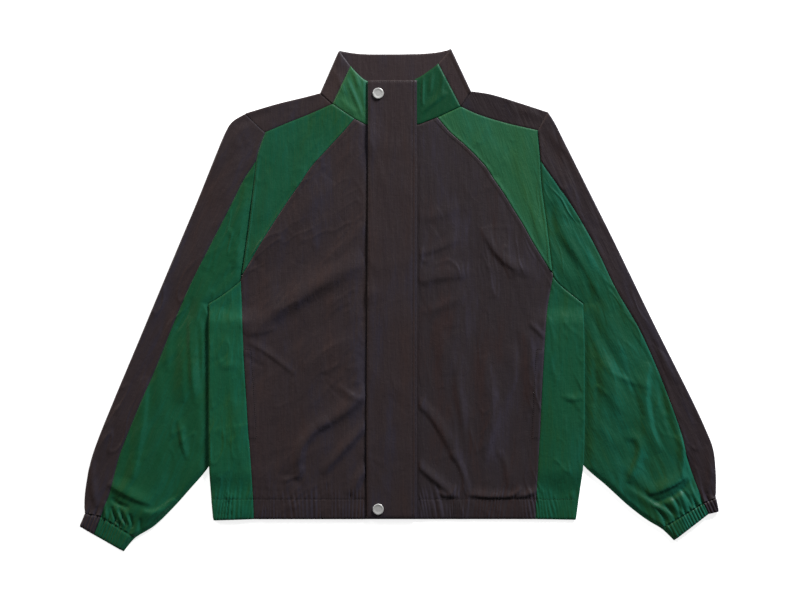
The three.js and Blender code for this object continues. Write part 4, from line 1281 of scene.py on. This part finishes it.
def make_collar_band():
    """The back of the collar, lying on the surface, and its two sides folded over it, in one strip."""
    rows = np.linspace(0, 1, 34)
    neck = back_neck()(np.linspace(0, 2, 60))
    low, high = {}, {}
    for name, side in SIDES.items():
        part, sign = side["collar"], side["sign"]
        low[name] = np.array([[sign * x, neck_y(side, x)] for x in part["neck_x"][:2]])
        high[name] = np.column_stack([sign * part["top_x"][:2], part["top_y"][:2]])
    top_x = np.linspace(-89.0, 76.5, len(neck))
    top = np.column_stack([top_x, np.interp(top_x, COLLAR_TOP["x"], COLLAR_TOP["y"])])
    radius = LAID_HEIGHT / 2
    thin = radius - COLLAR_CLOTH
    outer_rows, inner_rows = [], []
    for share in rows:
        near_top = edge_roll((1 - share) * 70, 0.7)
        ends = []
        for name in SIDES:
            fold, seam = low[name] + (high[name] - low[name]) * share
            inward = (seam - fold) / np.linalg.norm(seam - fold)
            width = np.linalg.norm(seam - fold)
            spots = np.concatenate([[width, width - 0.7, width - 1.6], np.linspace(width - 3, radius, 8)])
            plan = fold + inward * spots[:, None]
            height = body_top(plan) - near_top - edge_roll(width - spots, 0.6)
            height[-1] = LAID_HEIGHT
            lower = (fold + inward * radius + np.array([0, COLLAR_CORNER_LIFT * share ** 8]))[None]
            faces = []
            for reach, depth in ((radius, 0), (thin, COLLAR_CLOTH)):
                bend = fold + inward * (radius - reach * np.cos(ROLL_ANGLES))[:, None]
                faces.append(np.vstack([
                    np.column_stack([plan, height - depth]),
                    np.column_stack([bend, radius + reach * np.sin(ROLL_ANGLES)]),
                    np.column_stack([lower, [depth]])]))
            ends.append(faces)
        back = neck + (top - neck) * share
        ripple = 0.25 * np.sin(back[:, 0] / 21.0) * math.sin(math.pi * share)
        heights = (np.zeros(len(back)), COLLAR_CLOTH + ripple)
        for wall_rows, right, left, height in zip((outer_rows, inner_rows), *ends, heights):
            wall_rows.append(np.vstack([right, np.column_stack([back, height]), left[::-1]]))
    piece = shell("collar_band_cloth", np.array(outer_rows), np.array(inner_rows), BROWN["collar"])
    area = plan_area(neck[None] + (top - neck)[None] * rows[:, None, None])
    cloth_piece(piece, "collar_band", area + 2 * COLLAR_SIDE_AREA)


# The storm flap
FLAP_STITCHES = (1.6, 6.6)  # rows of stitching, from the sewn edge
FLAP_FOLDS = table("x1 y1 x2 y2 x3 y3 width height skew", [
    [-44, 250, -20, 236, 20, 244, 26, 0.35, 0],
    [-46, 190, -10, 178, 22, 150, 30, 0.4, 0],
    [-46, 60, -20, 52, 22, 66, 26, 0.45, 0.2],
    [-44, -20, -10, -30, 20, -12, 28, 0.35, 0],
    [-46, -120, -12, -140, 20, -136, 32, 0.4, 0],
    [-44, -236, -16, -228, 20, -240, 26, 0.4, 0],
    [-22, 200, -14, 100, -20, 0, 16, 0.35, 0],
    [-16, -60, -24, -160, -16, -260, 16, 0.35, 0],
])


# Where the flap's free edge stands up a little from the front
FLAP_LIFTS = table("y reach height", [
    [300, 22, 0.6], [250, 24, 2.0], [92, 40, 1.2], [8, 14, 1.4], [-250, 40, 0.4],
])


def flap_top(points):
    """Top of the storm flap, over the fronts and the collar."""
    height = np.zeros(len(points))
    add_folds(height, points, FLAP_FOLDS)
    add_folds(height, points, CRINKLES[0])
    sewn = smoothstep(FLAP_SEWN_X - points[:, 0], 0, 8)
    free = 1 - smoothstep(points[:, 0] - FLAP_FREE_X, 0, 34)
    lift = sum(h * np.exp(-((points[:, 1] - y) / reach) ** 2) for y, reach, h in zip(*FLAP_LIFTS.values()))
    base = body_floor(points) + LAID_HEIGHT + GAP + FLAP_CLOTH
    return base + 0.2 + lift * free + np.maximum(height * sewn, -0.15)


def make_flap():
    ys = np.linspace(FLAP_TOP_Y, FLAP_HEM_Y, int((FLAP_TOP_Y - FLAP_HEM_Y) / GRID))
    ys = np.concatenate([FLAP_TOP_Y - EDGE_STEPS[:-1], ys[2:-2], FLAP_HEM_Y + EDGE_STEPS[:-1][::-1]])
    width = FLAP_SEWN_X - FLAP_FREE_X
    marks = [*EDGE_STEPS, *np.arange(6, width - 9, GRID)]
    for row in FLAP_STITCHES:
        marks += [width - row + step for step in (-1.2, -0.5, 0, 0.5, 1.2)]
    marks = np.unique(np.round([*marks, width - 3.6, width - 0.4, width], 2))
    grid = np.stack(np.meshgrid(FLAP_FREE_X + marks, ys), axis=2)
    grid[:, :, 0] += (1.2 * np.sin(grid[:, :, 1] / 140.0)) * (1 - marks / width)[None, :]
    from_free, from_sewn = marks[None, :], (width - marks)[None, :]
    top = on_grid(flap_top, grid)
    for row in FLAP_STITCHES:
        top -= 0.3 * np.exp(-((from_sewn - row) / 0.7) ** 2)
    top += edge_rise(from_free, 0.3, 9.0)
    top -= edge_roll(from_free, 0.8) + edge_roll(from_sewn, 0.9)
    top -= edge_roll(FLAP_TOP_Y - grid[:, :, 1], 0.8) + edge_roll(grid[:, :, 1] - FLAP_HEM_Y, 0.8)
    piece = upper_shell("storm_flap_cloth", grid, top, FLAP_CLOTH, BROWN["body"])
    cloth_piece(piece, "storm_flap", plan_area(grid))


# Stitching
STITCH_LENGTH, STITCH_PITCH, THREAD_RADIUS = 2.3, 3.1, 0.24


def stitch_rows(name, lines, height, material):
    """Rows of stitches along lines in millimetres: each stitch a short thread that dips into the cloth."""
    points, faces = [], []
    ring = np.radians([0, 90, 180, 270])
    sections = np.array([[-0.5, 0.3, -0.12], [-0.25, 1.0, 0.12], [0.25, 1.0, 0.12], [0.5, 0.3, -0.12]])
    for line in lines:
        lengths = np.concatenate([[0], np.cumsum(np.linalg.norm(np.diff(line, axis=0), axis=1))])
        marks = np.arange(STITCH_PITCH / 2, lengths[-1] - STITCH_PITCH / 2, STITCH_PITCH)
        centres = np.column_stack([np.interp(marks, lengths, line[:, k]) for k in (0, 1)])
        ahead = np.column_stack([np.interp(marks + 0.5, lengths, line[:, k]) for k in (0, 1)])
        heights = height(centres)
        for centre, toward, z in zip(centres, ahead - centres, heights):
            along = toward / np.linalg.norm(toward)
            beside = np.array([-along[1], along[0]])
            base = len(points)
            for share, size, lift in sections:
                middle = centre + along * share * STITCH_LENGTH
                for angle in ring:
                    plan = middle + beside * THREAD_RADIUS * size * math.cos(angle)
                    points.append((*plan, z + lift + THREAD_RADIUS * size * math.sin(angle)))
            for k in range(3):
                for j in range(4):
                    a, b = base + 4 * k + j, base + 4 * k + (j + 1) % 4
                    faces.append((a, a + 4, b + 4, b))
            faces.append((base + 3, base + 2, base + 1, base))
            faces.append((base + 12, base + 13, base + 14, base + 15))
    smooth = np.ones(len(faces), bool)
    piece = mesh_object(name, np.array(points) * MM, np.array(faces)[:, ::-1], material, smooth)
    outward = bmesh.new()
    outward.from_mesh(piece.data)
    bmesh.ops.recalc_face_normals(outward, faces=outward.faces)
    outward.to_mesh(piece.data)
    outward.free()
    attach(piece, "root")


def straight(x1, y1, x2, y2, count=60):
    return np.column_stack([np.linspace(x1, x2, count), np.linspace(y1, y2, count)])


def make_stitching():
    flap_lines = [straight(FLAP_SEWN_X - row, FLAP_TOP_Y - 2, FLAP_SEWN_X - row, FLAP_HEM_Y + 2)
                  for row in FLAP_STITCHES]
    flap_lines.append(straight(FLAP_FREE_X + 2, FLAP_TOP_Y - 2, FLAP_SEWN_X - 2, FLAP_TOP_Y - 2))
    stitch_rows("flap_stitching", flap_lines, lambda p: flap_top(p) - 0.25, BROWN_THREAD_WITH_PAINTED_SHADE)
    hem, side_hem, pockets = [], [], []
    for side in SIDES.values():
        sign = side["sign"]
        start = FLAP_FREE_X - 1 if sign < 0 else FLAP_SEWN_X + 1
        seam = side_line(side, "body", "seam")([6.0])[0]
        edge = side_line(side, "body", "edge")([6.0])[0]
        hem.append(straight(start, HEM_STITCH_Y, seam[0] - sign, HEM_STITCH_Y))
        side_hem.append(straight(seam[0] + sign, HEM_STITCH_Y, edge[0] - 3 * sign, HEM_STITCH_Y))
        stops = np.linspace(2.1, 4.2, 60)
        mouth = side_line(side, "body", "seam")(stops) - np.array([sign * POCKET_STITCH, 0])
        pockets.append(mouth)
        for end in (mouth[0], mouth[-1]):
            pockets.append(straight(end[0], end[1], end[0] + sign * (POCKET_STITCH - 1), end[1] + 1, 8))
    top_of = lambda p: body_top(p) + 0.05
    stitch_rows("hem_stitching", hem, top_of, BROWN_THREAD_WITH_PAINTED_SHADE)
    stitch_rows("side_hem_stitching", side_hem, top_of, GREEN_THREAD_WITH_PAINTED_SHADE)
    stitch_rows("pocket_stitching", pockets, lambda p: body_top(p) + 0.5, BROWN_THREAD_WITH_PAINTED_SHADE)


# Snaps
# Rings of the cap's top, inwards: shares of the radius and of the height
SNAP_INSETS = [(0.20, 0.08), (0.10, -0.16), (0.25, -0.05), (0.30, 0.02)]


def make_snap(node_name):
    """A snap's cap: a turned disc with a rolled rim and a shallow dish, modelled from a cylinder."""
    low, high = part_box(node_name)
    radius = (high.x - low.x) / 2
    height = high.z - low.z
    bpy.ops.object.select_all(action="DESELECT")
    centre = ((low.x + high.x) / 2, (low.y + high.y) / 2, (low.z + high.z) / 2)
    bpy.ops.mesh.primitive_cylinder_add(vertices=64, radius=radius, depth=height, location=centre)
    cap = bpy.context.object
    cap.name = f"{node_name}_cap"
    bpy.ops.object.mode_set(mode="EDIT")
    bpy.ops.mesh.select_all(action="DESELECT")
    edit = bmesh.from_edit_mesh(cap.data)
    top = max(edit.faces, key=lambda face: face.calc_center_median().z)
    top.select = True
    bmesh.update_edit_mesh(cap.data)
    for inset, rise in SNAP_INSETS:
        bpy.ops.mesh.inset(thickness=radius * inset, depth=height * rise)
    bpy.ops.object.mode_set(mode="OBJECT")
    soften = cap.modifiers.new("rolled_rim", "BEVEL")
    soften.width = height * 0.3
    soften.segments = 4
    soften.limit_method = "ANGLE"
    soften.angle_limit = math.radians(40)
    bpy.ops.object.modifier_apply(modifier=soften.name)
    bpy.ops.object.transform_apply(location=True, rotation=True, scale=True)
    bpy.ops.object.shade_smooth_by_angle(angle=math.radians(50))
    cap.data.materials.clear()
    cap.data.materials.append(STEEL)
    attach(cap, "root")
    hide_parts(node_name)


# Camera, light and floor
FRAME_WIDTH = 1.24  # what the photograph's frame spans at the surface, at 1.55 mm a pixel
LENS, SENSOR = 85.0, 36.0
CAMERA_X = 0.0008  # the photograph's middle beside the jacket's


def make_camera():
    data = bpy.data.cameras.new("camera")
    data.lens, data.sensor_width = LENS, SENSOR
    camera = bpy.data.objects.new("camera", data)
    camera.location = (CAMERA_X, 0, FRAME_WIDTH * LENS / SENSOR + LAID_HEIGHT * MM)
    bpy.context.scene.collection.objects.link(camera)
    bpy.context.scene.camera = camera


def soft_light(name, place, aim, size, power):
    data = bpy.data.lights.new(name, "AREA")
    data.shape = "SQUARE"
    data.size, data.energy = size, power
    light = bpy.data.objects.new(name, data)
    light.location = place
    light.rotation_euler = (Vector(aim) - Vector(place)).to_track_quat("-Z", "Y").to_euler()
    bpy.context.scene.collection.objects.link(light)


def make_floor():
    material, _, shader = new_material("pale_floor")
    shader.inputs["Base Color"].default_value = (0.93, 0.93, 0.93, 1)
    shader.inputs["Roughness"].default_value = 0.9
    shader.inputs["Specular IOR Level"].default_value = 0.1
    shader.inputs["Emission Color"].default_value = (1, 1, 1, 1)
    shader.inputs["Emission Strength"].default_value = 0.8
    bpy.ops.object.select_all(action="DESELECT")
    bpy.ops.mesh.primitive_plane_add(size=12, location=(0, 0, -0.0004))
    floor = bpy.context.object
    floor.name = "floor"
    floor.data.materials.append(material)


def make_studio():
    world = bpy.data.worlds.new("studio")
    bpy.context.scene.world = world
    world.use_nodes = True
    world.node_tree.nodes["Background"].inputs["Color"].default_value = (1, 1, 1, 1)
    world.node_tree.nodes["Background"].inputs["Strength"].default_value = 0.08
    soft_light("key", (2.1, 3.5, 1.55), (0, 0, 0), 1.2, 345)
    soft_light("second", (-3.6, 2.1, 1.7), (0, 0, 0), 1.3, 82)
    bpy.context.scene.view_settings.view_transform = "Standard"


make_camera()
make_studio()
make_floor()
make_back()
for side_name, side_tables in SIDES.items():
    make_front(side_name, side_tables)
    make_yoke(side_name, side_tables)
    make_side_panel(side_name, side_tables)
    make_shoulder_strip(side_name, side_tables)
    make_sleeve(side_name, side_tables)
    make_stripe(side_name, side_tables)
    make_collar_front(side_name, side_tables)
make_collar_band()
make_flap()
make_stitching()
for snap in ("snap_top", "snap_hem"):
    make_snap(snap)

bpy.context.view_layer.update()
